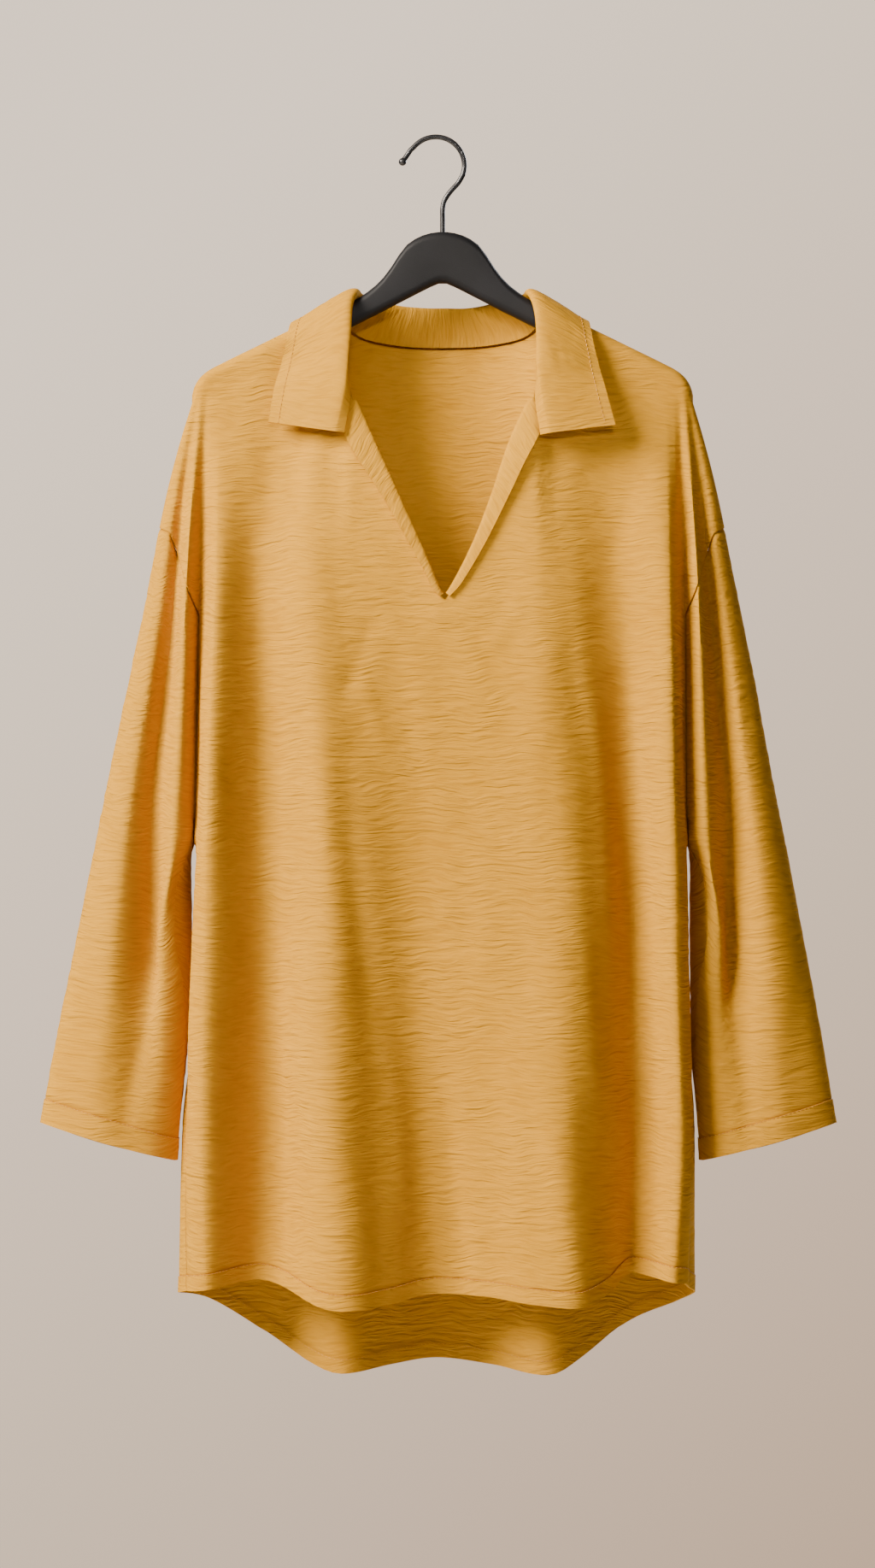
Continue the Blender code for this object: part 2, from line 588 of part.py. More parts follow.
def edge_pieces(points, faces):
    """Edges of the surface's border, each with its one face."""
    uses = {}
    for face in faces:
        for a, b in zip(face, face[1:] + face[:1]):
            uses.setdefault(frozenset((a, b)), []).append((a, b, face))
    return [u[0] for u in uses.values() if len(u) == 1]


def pulled_in(points, faces, normals, seams):
    """The piece's points, with those on a seam moved half the seam's gap into the piece."""
    inward = {}
    for a, b, face in edge_pieces(points, faces):
        keys = [tuple(np.round(points[v], 3)) for v in (a, b)]
        if frozenset(keys) not in seams:
            continue
        along = points[b] - points[a]
        out = face_normal(points, face)
        into = np.cross(out, along)
        for v in (a, b):
            inward.setdefault(v, []).append(into / np.linalg.norm(into))
    moved = points.copy()
    for v, directions in inward.items():
        mean = sum(directions)
        normal = normals[tuple(np.round(points[v], 3))]
        mean = mean - normal * mean.dot(normal)
        mean /= np.linalg.norm(mean)
        least = min(d.dot(mean) for d in directions)
        moved[v] = points[v] + mean * (SEAM_GAP / 2 + SEAM_SPARE) / max(least, 0.5)
    return moved


def wall(name, points, faces, normals, half):
    """Closed solid of a surface: its points moved out and in by half the wall, joined at the rim."""
    count = len(points)
    mesh = bpy.data.meshes.new(name)
    bm = bmesh.new()
    for sign in (1.0, -1.0):
        for point, normal, h in zip(points, normals, half):
            x, y, z = point + normal * h * sign
            bm.verts.new(((x + CENTRE_X) * MM, y * MM, z * MM))
    bm.verts.ensure_lookup_table()
    for face in faces:
        bm.faces.new([bm.verts[v] for v in face])
        bm.faces.new([bm.verts[v + count] for v in reversed(face)])
    for a, b, _ in edge_pieces(points, faces):
        ring = (b, a, a + count, b + count)
        for corners in split_quad([np.array(bm.verts[v].co) for v in ring], (0, 1, 2, 3)):
            bm.faces.new([bm.verts[ring[v]] for v in corners])
    bmesh.ops.recalc_face_normals(bm, faces=bm.faces)
    bm.to_mesh(mesh)
    bm.free()
    return bpy.data.objects.new(name, mesh)


def border_keys(surface):
    points, faces = surface
    return {frozenset(tuple(np.round(points[v], 3)) for v in (a, b)) for a, b, _ in edge_pieces(points, faces)}


def near_hem(point, piece):
    """Whether a point is in the turned-up band at the piece's lower edge."""
    return piece["hem"] is not None and tuple(np.round(point, 3)) in piece["hem"]


def garment_surfaces():
    """The four cut pieces as (points, faces), with the places that lie in their hem bands."""
    found = {}
    for name, columns in (
        ("front_panel", body_panel("front")),
        ("back_panel", body_panel("back")[::-1]),
        ("right_sleeve", sleeve(RIGHT)),
        ("left_sleeve", sleeve(LEFT)),
    ):
        longest = max(len(c) for c in columns)
        band = {tuple(np.round(p, 3)) for c in columns if len(c) == longest for p in c[-2:]}
        points, faces = merged(*grid_faces(columns))
        found[name] = {"surface": (points, faces), "hem": band}
    return found


def garment_walls(pieces):
    surfaces = {name: piece["surface"] for name, piece in pieces.items()}
    normals = shared_normals(surfaces.values())
    borders = {name: border_keys(s) for name, s in surfaces.items()}
    built = []
    for name, piece in pieces.items():
        points, faces = piece["surface"]
        others = set().union(*(b for other, b in borders.items() if other != name))
        at = normals_at(points, normals)
        half = [HEM_WALL / 2 if near_hem(p, piece) else CLOTH / 2 for p in points]
        built.append(wall(name, pulled_in(points, faces, normals, borders[name] & others), faces, at, half))
    return built


def collar():
    """Turn-down collar: from the neck seam up to the roll, over it and down to the outer edge."""
    fields = []
    for field in ("seam", "roll", "edge"):
        line = [np.array(getattr(s, field), float) for s in COLLAR]
        ends = [2 * line[0] - line[1]] + line + [2 * line[-1] - line[-2]]
        steps = [k / COLLAR_COLUMNS for k in range((len(COLLAR) - 1) * COLLAR_COLUMNS + 1)]
        fields.append(spline(ends, steps))
    columns = []
    for seam, roll, edge in zip(*fields):
        stand, leaf = seam - roll, edge - roll
        bisector = stand / np.linalg.norm(stand) + leaf / np.linalg.norm(leaf)
        over = leaf / np.linalg.norm(leaf) - stand / np.linalg.norm(stand)
        bend = over - bisector * over.dot(bisector) / max(bisector.dot(bisector), 1e-9)
        bend /= max(np.linalg.norm(bend), 1e-9)
        stand_bend = bend * STAND_FULLNESS * np.linalg.norm(stand)
        leaf_bend = bend * LEAF_FULLNESS * np.linalg.norm(leaf)
        column = []
        for begin, end, first, last, cells, skip in (
            (seam, roll, -stand, stand_bend, STAND_CELLS, 0),
            (roll, edge, leaf_bend, leaf, LEAF_CELLS, 1),
        ):
            for k in range(skip, cells + 1):
                t = 1 - (1 - k / cells) ** 1.4 if skip == 0 else (k / cells) ** 1.4
                column.append((1 + 2 * t) * (1 - t) ** 2 * begin + t * (1 - t) ** 2 * first
                              + t * t * (3 - 2 * t) * end - t * t * (1 - t) * last)
        columns.append(column)
    points, faces = merged(*grid_faces(columns))
    normals = normals_at(points, shared_normals([(points, faces)]))
    return wall("collar", points, faces, normals, [COLLAR_WALL / 2] * len(points))


def slit_shares(side):
    """Shares of the slit's length at which the front panel's columns start, gorge to bottom."""
    middle = [f.name for f in FRONT].index("centre")
    tops = [top_along(FRONT, p) for p in places(FRONT_CELLS) if (p - middle) * side >= 0]
    return sorted({round(t - 2, 6) for t in tops if t >= 2})


def straight_along(shares, line, share):
    """Point of the panel's straight-sided edge at a share of the slit."""
    return np.array([np.interp(share, shares, [p[axis] for p in line]) for axis in range(3)])


def on_panel(tree, place, proud):
    """The place over the front panel, standing this far off it."""
    hit = tree.ray_cast(Vector((place[0], RAY_START_Y, place[2])), Vector((0.0, 1.0, 0.0)))[0]
    return np.array([place[0], (hit.y if hit else place[1]) - proud, place[2]])


def slit_facing(name, side, sections, tree):
    """Facing folded over the slit's edge: inner leg, roll round the edge, and lapel outside."""
    columns, known = [], slit_shares(side)
    line = [top_point("front", side, 2 + s) for s in known]
    first, last = LAPEL_SPAN
    shares = [first] + [s for s in known if first < s < last] + [last]
    for share in sorted(shares + [(a + b) / 2 for a, b in zip(shares, shares[1:])]):
        edge = straight_along(known, line, share)
        ahead = straight_along(known, line, share + 0.01) - straight_along(known, line, share - 0.01)
        outward = np.array([ahead[2], 0.0, -ahead[0]])
        outward = outward / np.linalg.norm(outward) * (1.0 if outward[0] * side > 0 else -1.0)
        width = monotone([s.along for s in sections], [s.width for s in sections], share)
        lift = monotone([s.along for s in sections], [s.lift for s in sections], share)
        inside = min(FACING_INSIDE, width + 3.0)
        column = [on_panel(tree, edge + outward * inside * s, -FACING_ROLL) for s in (1.0, 0.4)]
        for angle in (30, 90, 150):
            turn = math.radians(angle)
            base = on_panel(tree, edge + outward * FACING_INSET, FACING_ROLL * -math.cos(turn))
            column.append(base - outward * (FACING_ROLL + FACING_PROUD) * math.sin(turn))
        for s in LAPEL_SHARES:
            column.append(on_panel(tree, edge + outward * width * s, FACING_ROLL + (lift - FACING_ROLL) * s))
        columns.append(column)
    points, faces = merged(*grid_faces(columns))
    normals = normals_at(points, shared_normals([(points, faces)]))
    return wall(name, points, faces, normals, [FACING_WALL / 2] * len(points))


def hanger_outline(section, x):
    """Rounded outline of the hanger across one place, in the plane of x."""
    half, middle = section.half, (section.top + section.bottom) / 2
    tall = (section.top - section.bottom) / 2
    corner = min(HANGER_CORNER, half - 0.3, tall - 0.3)
    ring = []
    for sy, sz, start in ((1, 1, 0), (-1, 1, 90), (-1, -1, 180), (1, -1, 270)):
        for k in range(HANGER_CORNER_STEPS + 1):
            turn = math.radians(start + 90 * k / HANGER_CORNER_STEPS)
            ring.append((x, sy * (half - corner) + corner * math.cos(turn),
                         middle + sz * (tall - corner) + corner * math.sin(turn)))
    return ring


def hanger(collection):
    """Flat arched hanger with rounded edges and a socket in its head for the hook's stem."""
    sections = [(s, -s.x) for s in HANGER[:0:-1]] + [(s, s.x) for s in HANGER]
    bm = bmesh.new()
    rings = []
    for section, x in sections:
        ring = hanger_outline(section, x)
        rings.append([bm.verts.new(((px + CENTRE_X) * MM, py * MM, pz * MM)) for px, py, pz in ring])
    for a, b in zip(rings, rings[1:]):
        for i in range(len(a)):
            j = (i + 1) % len(a)
            bm.faces.new((a[i], a[j], b[j], b[i]))
    for ring in (rings[0], rings[-1]):
        bm.faces.new(ring)
    bmesh.ops.recalc_face_normals(bm, faces=bm.faces)
    mesh = bpy.data.meshes.new("hanger")
    bm.to_mesh(mesh)
    bm.free()
    body = bpy.data.objects.new("hanger", mesh)
    cutter_mesh = bpy.data.meshes.new("socket_cutter")
    bm = bmesh.new()
    radius = (WIRE_RADIUS + SOCKET_GAP) * MM
    bmesh.ops.create_cone(bm, cap_ends=True, segments=12, radius1=radius, radius2=radius,
                          depth=2 * SOCKET_DEPTH * MM)
    bm.to_mesh(cutter_mesh)
    bm.free()
    cutter = bpy.data.objects.new("socket_cutter", cutter_mesh)
    cutter.location = (CENTRE_X * MM, 0, HANGER[0].top * MM)
    cutter.hide_render = True
    cutter.display_type = "WIRE"
    collection.objects.link(cutter)
    cut = body.modifiers.new("socket", "BOOLEAN")
    cut.operation = "DIFFERENCE"
    cut.object = cutter
    return body


def hook():
    """Wire hook: stem, bend, round crook and a ball at its free end."""
    top = WIRE_RADIUS
    centre_z = top - HOOK_RADIUS
    arc = [(HOOK_RADIUS * math.sin(math.radians(a)), centre_z + HOOK_RADIUS * math.cos(math.radians(a)))
           for a in range(110, -51, -10)]
    stem_end = HANGER[0].top - SOCKET_DEPTH + SOCKET_GAP + 0.5
    path = [(CENTRE_X, stem_end), (CENTRE_X, -68.0), (CENTRE_X, -58.0), (6.6, -51.5), (9.5, -46.0),
            (13.6, -40.8), (18.2, -35.8)] + arc
    radii = [WIRE_RADIUS] * len(path)
    flare = ((-20.6, -8.6), (-23.0, -12.2), (-25.4, -15.7))
    path += list(flare)
    radii += [WIRE_RADIUS] * len(flare)
    ahead = np.array(flare[-1]) - np.array(flare[-2])
    ahead /= np.linalg.norm(ahead)
    for angle in (-45, -20, 0, 20, 45, 70):
        turn = math.radians(angle)
        place = np.array(flare[-1]) + ahead * BALL_RADIUS * (1.0 + math.sin(turn))
        path.append(tuple(place))
        radii.append(BALL_RADIUS * math.cos(turn))
    curve = bpy.data.curves.new("hook", "CURVE")
    curve.dimensions = "3D"
    curve.bevel_depth = MM
    curve.bevel_resolution = 2
    curve.use_fill_caps = True
    line = curve.splines.new("POLY")
    line.points.add(len(path) - 1)
    for point, (x, z), radius in zip(line.points, path, radii):
        point.co = (x * MM, 0, z * MM, 1)
        point.radius = radius
    return bpy.data.objects.new("hook", curve)


def finish(name, colour, roughness, metallic=0.0):
    material = bpy.data.materials.new(name)
    material.use_nodes = True
    shader = material.node_tree.nodes["Principled BSDF"]
    shader.inputs["Base Color"].default_value = (*colour, 1)
    shader.inputs["Roughness"].default_value = roughness
    shader.inputs["Metallic"].default_value = metallic
    return material


def main():
    for old in list(bpy.data.objects):
        bpy.data.objects.remove(old)
    parts = bpy.data.collections.new("tunic_top")
    cutters = bpy.data.collections.new("cutters")
    for collection in (parts, cutters):
        bpy.context.scene.collection.children.link(collection)

    pieces = garment_surfaces()
    tree = BVHTree.FromPolygons(*[list(map(tuple, part)) for part in pieces["front_panel"]["surface"]])
    built = garment_walls(pieces)
    built.append(collar())
    built.append(slit_facing("right_slit_facing", RIGHT, LAPEL_RIGHT, tree))
    built.append(slit_facing("left_slit_facing", LEFT, LAPEL_LEFT, tree))
    for obj in built:
        parts.objects.link(obj)
        obj.data.materials.append(finish(obj.name, (0.72, 0.40, 0.03), 0.85))
    for obj, material in (
        (hanger(cutters), finish("hanger", (0.012, 0.012, 0.013), 0.45)),
        (hook(), finish("hook", (0.02, 0.02, 0.02), 0.35, 1.0)),
    ):
        parts.objects.link(obj)
        obj.data.materials.append(material)


main()
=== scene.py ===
"""Looks of a loose tunic top in crinkled mustard cloth, hung on a black hanger with a wire hook.

The cloth shells lie on the same surface as the solids: fold lines give each horizontal section,
sections give the surface, and soft creases and crinkle ridges are raised on it. Sizes in the
tables are millimetres from the garment's centre plane and are turned to metres by MM.
"""

from __future__ import annotations

import json
import logging
import math
from dataclasses import dataclass
from enum import Enum
from typing import NamedTuple, Sequence

import bmesh
import bpy
import numpy as np
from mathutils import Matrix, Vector
from mathutils.bvhtree import BVHTree
from mathutils.kdtree import KDTree

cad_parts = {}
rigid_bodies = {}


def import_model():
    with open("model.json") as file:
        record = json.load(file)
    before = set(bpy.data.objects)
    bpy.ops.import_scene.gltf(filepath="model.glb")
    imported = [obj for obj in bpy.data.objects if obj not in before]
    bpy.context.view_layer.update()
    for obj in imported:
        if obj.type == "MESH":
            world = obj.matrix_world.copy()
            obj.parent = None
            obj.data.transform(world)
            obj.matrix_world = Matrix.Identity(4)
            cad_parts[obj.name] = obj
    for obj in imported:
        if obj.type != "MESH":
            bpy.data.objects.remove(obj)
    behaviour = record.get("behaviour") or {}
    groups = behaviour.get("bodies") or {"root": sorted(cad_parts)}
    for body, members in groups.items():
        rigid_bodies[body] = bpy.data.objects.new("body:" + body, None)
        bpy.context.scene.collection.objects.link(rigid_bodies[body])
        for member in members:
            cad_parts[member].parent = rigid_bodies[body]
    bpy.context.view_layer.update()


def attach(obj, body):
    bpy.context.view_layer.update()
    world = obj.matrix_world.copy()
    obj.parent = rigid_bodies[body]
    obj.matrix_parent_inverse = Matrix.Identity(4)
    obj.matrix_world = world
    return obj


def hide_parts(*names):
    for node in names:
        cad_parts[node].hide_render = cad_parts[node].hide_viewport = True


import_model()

log = logging.getLogger("tunic")

# Lengths are in millimetres. CENTRE_X is how far the garment's middle is from the hook's crook.
MM = 0.001
CENTRE_X = 5.6
CLOTH = 0.9
HEM_CLOTH = 1.9
HEM_DEPTH = 12.0
CUFF_DEPTH = 17.0
HEM_STEP = 0.7
COLLAR_CLOTH = 1.7
FACING_CLOTH = 1.3
SEAM_HALF_GAP = 0.17
SHOULDER_ROUND = 8.7
WIRE_RADIUS = 2.1
HOOK_RADIUS = 23.45
BALL_RADIUS = 3.2
SOCKET_DEPTH = 12.0
SOCKET_GAP = 0.3

TIP_Z = -318.0
NOTCH_Z = -390.0
PASSAGE_Z = -545.0
UNDERARM_Z = -577.0
WAIST_Z = -656.0
HIP_Z = -810.0
HEM_Z = -945.0
CUFF_OUTER_Z = -804.0
CUFF_INNER_Z = -836.0
CUFF_OUTER_X, CUFF_INNER_X = 332.0, 218.0
SLEEVE_LEVELS = (TIP_Z, NOTCH_Z, UNDERARM_Z, WAIST_Z, -730.0, -820.0)
LOWEST_Z = -1024.0
# Spans between the sleeve's fold lines, from the outer fold to the seam.
SLEEVE_SPANS = 4
# Points closer than this are one, and rays start this far in front of the garment.
DOUBLE_GAP = 0.002
IN_FRONT = -500.0

# How grain lines crowd towards the neck's corner.
NECK_CROWDING = 1.8
# The length of the fine rows under the neckline, and the most of a line that they take.
NECK_TURN = 9.0
NECK_TURN_SHARE = 0.25
# How much of its sideways run a grain line starts with at the hanger's end, and how much more past it.
OUTER_LEAN = 0.15
OUTER_SPREAD = 0.35
# The least share of the inner fold in the cloth beside the sleeve's seam, at the back.
INNER_SHARE = 0.25
# A soft crease's sway to either side, and the sway's angle over its length, in radians.
CREASE_SWAY = 5.0
CREASE_SWING = 3.1
# Its height at its middle, and what it loses over its length, before that is cut off at 1 and 0.
CREASE_BODY = 1.25
CREASE_TAPER = 1.5
# The crinkle's mean strength, and how far stitches stand off the cloth.
CRINKLE_MEAN = 0.75
STITCH_PROUD = 0.1


class Side(Enum):
    """Wearer's side, as the sign of x."""

    RIGHT = -1
    LEFT = 1

    @property
    def word(self) -> str:
        """Return the side's name, as the pieces and the nodes have it."""
        return self.name.lower()


class Face(Enum):
    """Front or back of the garment, as the sign of y."""

    FRONT = -1
    BACK = 1

    @property
    def other(self) -> Face:
        """Return the face across the body."""
        return Face(-self.value)


class Fold(NamedTuple):
    """A fold line down the body: where it starts and its (x, y) at five heights."""

    name: str
    top: float
    notch_xy: tuple[float, float]
    under_xy: tuple[float, float]
    waist_xy: tuple[float, float]
    hip_xy: tuple[float, float]
    hem_xy: tuple[float, float]
    hem_z: float


class SleeveFold(NamedTuple):
    """A fold line down the sleeve, x outwards from the centre plane, at six heights."""

    name: str
    top: float
    tip_xy: tuple[float, float]
    notch_xy: tuple[float, float]
    under_xy: tuple[float, float]
    waist_xy: tuple[float, float]
    elbow_xy: tuple[float, float]
    cuff_xy: tuple[float, float]


class SeamPoint(NamedTuple):
    """A point of a seam line on the wearer's right, x outwards."""

    z: float
    x: float
    y: float


class CollarSection(NamedTuple):
    """A section of the collar: its seam, its roll and its outer edge."""

    name: str
    seam: tuple[float, float, float]
    roll: tuple[float, float, float]
    edge: tuple[float, float, float]


class LapelSection(NamedTuple):
    """Width and lift of a turned-out slit facing at a share of the slit's length."""

    along: float
    width: float
    lift: float


class HangerSection(NamedTuple):
    """A section of the hanger: x outwards, top edge, bottom edge, half thickness."""

    x: float
    top: float
    bottom: float
    half: float


class Crease(NamedTuple):
    """A soft crease: its middle in cloth millimetres, length, turn from upright, height, width."""

    u: float
    v: float
    length: float
    turn: float
    rise: float
    width: float


class Pattern(NamedTuple):
    """An uneven pattern in the cloth: its cells across and down, and its height."""

    across: float
    down: float
    rise: float

    def height(self, u: np.ndarray, v: np.ndarray, seed: int) -> np.ndarray:
        """Return the pattern's height at flat places."""
        return self.rise * lattice_noise(u / self.across, v / self.down, seed)


class StitchSection(NamedTuple):
    """A section of a stitch: its share of the length, and its lift and thickness in radii."""

    along: float
    lift: float
    thick: float


class Lamp(NamedTuple):
    """A large soft lamp: its place and size in metres, its power and its colour."""

    name: str
    place: tuple[float, float, float]
    size: float
    watts: float
    colour: str


FRONT = (
    Fold("seam_r", 0.098, (-199, -8), (-203, -2), (-196, 0), (-208, -6), (-208, -17), -941),
    Fold("edge_r", 0.137, (-192, -21), (-200, -21), (-204, -22), (-207, -24), (-202, -27), -940),
    Fold("ridge_r", 0.205, (-184, -31), (-190, -36), (-191, -37), (-193, -38), (-190, -35), -938),
    Fold("dip_r", 0.64, (-150, -13), (-146, -9), (-144, -7), (-144, -4), (-151, -4), -933),
    Fold("swell_r", 1.0, (-106, -31), (-96, -36), (-93, -38), (-87, -44), (-80, -48), -953),
    Fold("gorge_r", 2.0, (-78, -29), (-66, -29), (-62, -29), (-50, -31), (-46, -33), -950),
    Fold("fall_r", 2.6, (-42, -27), (-36, -21), (-32, -18), (-14, -14), (-6, -10), -944),
    Fold("centre", 3.0, (2, -29), (8, -25), (12, -23), (28, -21), (34, -20), -945),
    Fold("rise_l", 2.5, (45, -30), (55, -33), (60, -34), (68, -38), (74, -42), -949),
    Fold("swell_l", 2.0, (82, -33), (97, -40), (102, -42), (100, -46), (108, -50), -951),
    Fold("neck_l", 1.0, (108, -27), (128, -27), (133, -27), (132, -26), (133, -28), -943),
    Fold("dip_l", 0.64, (147, -13), (155, -7), (157, -5), (160, -2), (154, 0), -928),
    Fold("ridge_l", 0.205, (184, -31), (187, -36), (188, -37), (192, -38), (186, -34), -932),
    Fold("edge_l", 0.137, (191, -21), (197, -21), (200, -22), (203, -23), (195, -26), -934),
    Fold("seam_l", 0.098, (198, -8), (200, -2), (193, 0), (201.5, -6), (200, -16), -938),
)
BACK = (
    Fold("seam_r", 0.098, (-199, 12), (-203, -2), (-196, 0), (-208, -6), (-208, -17), -941),
    Fold("edge_r", 0.137, (-192, 24), (-200, 19), (-196, 17), (-213, 7), (-216, 4), -945),
    Fold("ridge_r", 0.205, (-184, 33), (-189, 41), (-187, 43), (-199, 38), (-200, 33), -951),
    Fold("crest_r", 0.64, (-150, 34), (-150, 42), (-150, 45), (-152, 50), (-153, 53), -980),
    Fold("hollow_r", 1.0, (-106, 24), (-96, 24), (-92, 23), (-86, 18), (-83, 13), -1013),
    Fold("mid_r", 1.6, (-50, 31), (-45, 36), (-44, 38), (-42, 41), (-42, 40), -1009),
    Fold("centre", 2.0, (2, 34), (0, 44), (0, 47), (-3, 54), (-5, 58), -1006),
    Fold("mid_l", 1.6, (50, 30), (48, 34), (46, 36), (44, 39), (42, 38), -1009),
    Fold("hollow_l", 1.0, (106, 25), (96, 24), (92, 23), (88, 18), (86, 12), -1014),
    Fold("crest_l", 0.64, (150, 34), (152, 42), (152, 45), (152, 51), (152, 55), -977),
    Fold("ridge_l", 0.205, (184, 33), (187, 41), (185, 43), (193, 38), (191, 34), -957),
    Fold("edge_l", 0.137, (191, 24), (197, 19), (194, 17), (206, 8), (206, 5), -945),
    Fold("seam_l", 0.098, (198, 12), (200, -2), (193, 0), (201.5, -6), (200, -16), -938),
)
SLEEVE_TOP = SleeveFold("top", 0.0, (231.7, 0), (246, 0), (283.6, 0), (299, 0), (314, 0), (332, 0))
SLEEVE_FRONT = (
    SLEEVE_TOP,
    SleeveFold("strip", 0.021, (222.5, -9), (232, -12), (259, -20), (268, -22), (276, -22), (289, -20)),
    SleeveFold("valley", 0.043, (215, -4.5), (220.5, -3), (237, -1), (237, 0), (246, -12), (259, -19)),
    SleeveFold("roll", 0.068, (206.5, -20), (209.5, -24), (218.5, -26), (229, -18), (228, -14), (234, -14)),
)
SLEEVE_BACK = (
    SLEEVE_TOP,
    SleeveFold("strip", 0.021, (222.5, 9), (232, 13), (259, 24), (271, 30), (283, 30), (298, 24)),
    SleeveFold("valley", 0.043, (215, 5), (220.5, 7), (234, 16), (244, 27), (253, 30), (264, 28)),
    SleeveFold("roll", 0.068, (206.5, 20), (209.5, 28), (216, 30), (222, 33), (229, 31), (239, 27)),
)
INNER_BACK = SleeveFold("inner", 0.08, (201, 16), (203, 21), (207, 13), (206, 12), (209, 14), (219.5, 14))
ARMHOLE_FRONT = (
    SeamPoint(TIP_Z, 198, -8),
    SeamPoint(NOTCH_Z, 199, -8),
    SeamPoint(PASSAGE_Z, 202, -9),
    SeamPoint(-565, 202.7, -8),
    SeamPoint(-573, 203, -6),
    SeamPoint(UNDERARM_Z, 203, -1),
)
ARMHOLE_BACK = (
    SeamPoint(TIP_Z, 198, 9),
    SeamPoint(NOTCH_Z, 199, 12),
    SeamPoint(PASSAGE_Z, 202, 10),
    SeamPoint(-565, 202.7, 7),
    SeamPoint(-573, 203, 4),
    SeamPoint(UNDERARM_Z, 203, -1),
)
UNDERARM_SEAM = (
    SeamPoint(UNDERARM_Z, 203, -1),
    SeamPoint(-581, 206, -3),
    SeamPoint(-596, 213, -10),
    SeamPoint(-612, 218, -14),
    SeamPoint(-650, 219.5, -14.5),
    SeamPoint(-694, 213, -6),
    SeamPoint(-730, 212, -1),
    SeamPoint(-836, 218, 2),
)
SIDE_SEAM = (
    SeamPoint(UNDERARM_Z, 203, -1),
    SeamPoint(-581, 200.5, -1),
    SeamPoint(-612, 197, -0.5),
    SeamPoint(WAIST_Z, 196, 0),
    SeamPoint(-730, 201, -3),
    SeamPoint(HIP_Z, 208.5, -6),
    SeamPoint(-866, 209.5, -12),
    SeamPoint(HEM_Z, 208, -17),
)
LEFT_SHIFT = ((TIP_Z, 1), (NOTCH_Z, 1), (UNDERARM_Z, 3), (WAIST_Z, 3), (HIP_Z, 6.5), (HEM_Z, 8))
ARMHOLE_HEIGHT = (TIP_Z, -323.0, -341.0, -366.0, NOTCH_Z)
SHOULDER = ((88, -139), (121, -154.6), (150, -168.8), (181, -184), (191, -189.3), (197, -194),
            (201, -199), (203.6, -204.5), (205, -210))
NECK_FRONT = ((88, 0, -139), (86.6, -6.2, -140.8), (84.6, -9.2, -147.2), (80, -18, -180), (74, -26, -213))
NECK_BACK = ((88, 0, -139), (86.6, 6.2, -140.8), (84.4, 9.4, -147), (71, 24, -160), (38, 35, -167),
             (0, 38, -168.5))
SLIT_RIGHT = ((-74, -26, -213), (-37, -28.5, -295), (-13, -29, -349), (-3, -29, -373), (2, -29, -378))
SLIT_LEFT = ((74, -26, -213), (57, -28, -251), (43, -28.5, -293), (26, -29, -336), (7, -29, -372),
             (2, -29, -378))
COLLAR = (
    CollarSection("end_r", (-80, -33.5, -243), (-87, -36, -242.5), (-141.5, -24, -234)),
    CollarSection("gorge_r", (-75.5, -32, -214), (-80, -37, -207), (-136.5, -19, -205)),
    CollarSection("front_r", (-79.5, -21, -180), (-76, -31, -168), (-131, -15.5, -184)),
    CollarSection("side_r", (-83.5, -12.5, -145), (-74, -15.5, -135), (-127, -15, -166)),
    CollarSection("shoulder_r", (-86, 0, -135.6), (-69.5, 0, -124.8), (-123, 0, -151)),
    CollarSection("behind_r", (-82.5, 12.5, -144.5), (-66, 14, -126.5), (-119, 16, -163.5)),
    CollarSection("nape_r", (-70, 25, -158), (-52, 25, -130), (-98, 38, -181)),
    CollarSection("back_r", (-38, 36, -165), (-30, 31, -134), (-52, 47, -188)),
    CollarSection("back", (0, 39, -166.5), (0, 33.5, -135.5), (0, 50, -190)),
    CollarSection("back_l", (38, 36, -165), (30, 31, -134), (52, 47, -188)),
    CollarSection("nape_l", (70, 25, -158), (52, 25, -130), (98, 38, -181)),
    CollarSection("behind_l", (82.5, 12.5, -144.5), (66, 14, -126.5), (118, 16.5, -163)),
    CollarSection("shoulder_l", (86, 0, -135.6), (69.5, 0, -124.8), (119, 0, -149.3)),
    CollarSection("side_l", (83.5, -12.5, -145), (74, -16, -135.5), (121.5, -18, -164)),
    CollarSection("front_l", (79.5, -21, -180), (77.5, -32, -168), (126, -24, -184)),
    CollarSection("gorge_l", (75.5, -32, -214), (79.5, -39, -207), (131.5, -30, -206)),
    CollarSection("end_l", (79.5, -34, -245), (87, -39, -244), (140, -34, -237)),
)
STAND_FULLNESS, LEAF_FULLNESS = 0.55, 0.42
LAPEL_RIGHT = (LapelSection(0.20, 18, 4.0), LapelSection(0.5, 10, 3.4), LapelSection(0.93, 3, 2.8))
LAPEL_LEFT = (LapelSection(0.20, 17, 7.0), LapelSection(0.5, 10, 5.0), LapelSection(0.93, 3, 2.8))
LAPEL_START = 0.02
FACING_ROLL = 2.4
FACING_INSIDE = 9.0
HANGER = (
    HangerSection(0, -75.5, -116.8, 7.0),
    HangerSection(11, -77.0, -121.5, 7.0),
    HangerSection(21, -80.8, -126.6, 7.0),
    HangerSection(30, -87.0, -131.2, 7.0),
    HangerSection(37, -96.5, -134.8, 7.0),
    HangerSection(44, -107.5, -138.4, 7.0),
    HangerSection(52, -117.0, -142.5, 7.0),
    HangerSection(61, -124.6, -147.0, 7.0),
    HangerSection(72, -131.8, -152.6, 7.0),
    HangerSection(88, -140.6, -160.0, 7.0),
    HangerSection(121, -156.2, -175.0, 7.0),
    HangerSection(150, -170.4, -188.5, 7.0),
    HangerSection(181, -185.6, -201.5, 7.0),
    HangerSection(189, -190.2, -204.5, 6.2),
    HangerSection(194, -194.6, -205.5, 4.6),
    HangerSection(197, -199.0, -205.0, 2.8),
)
HANGER_CORNER = 6.6

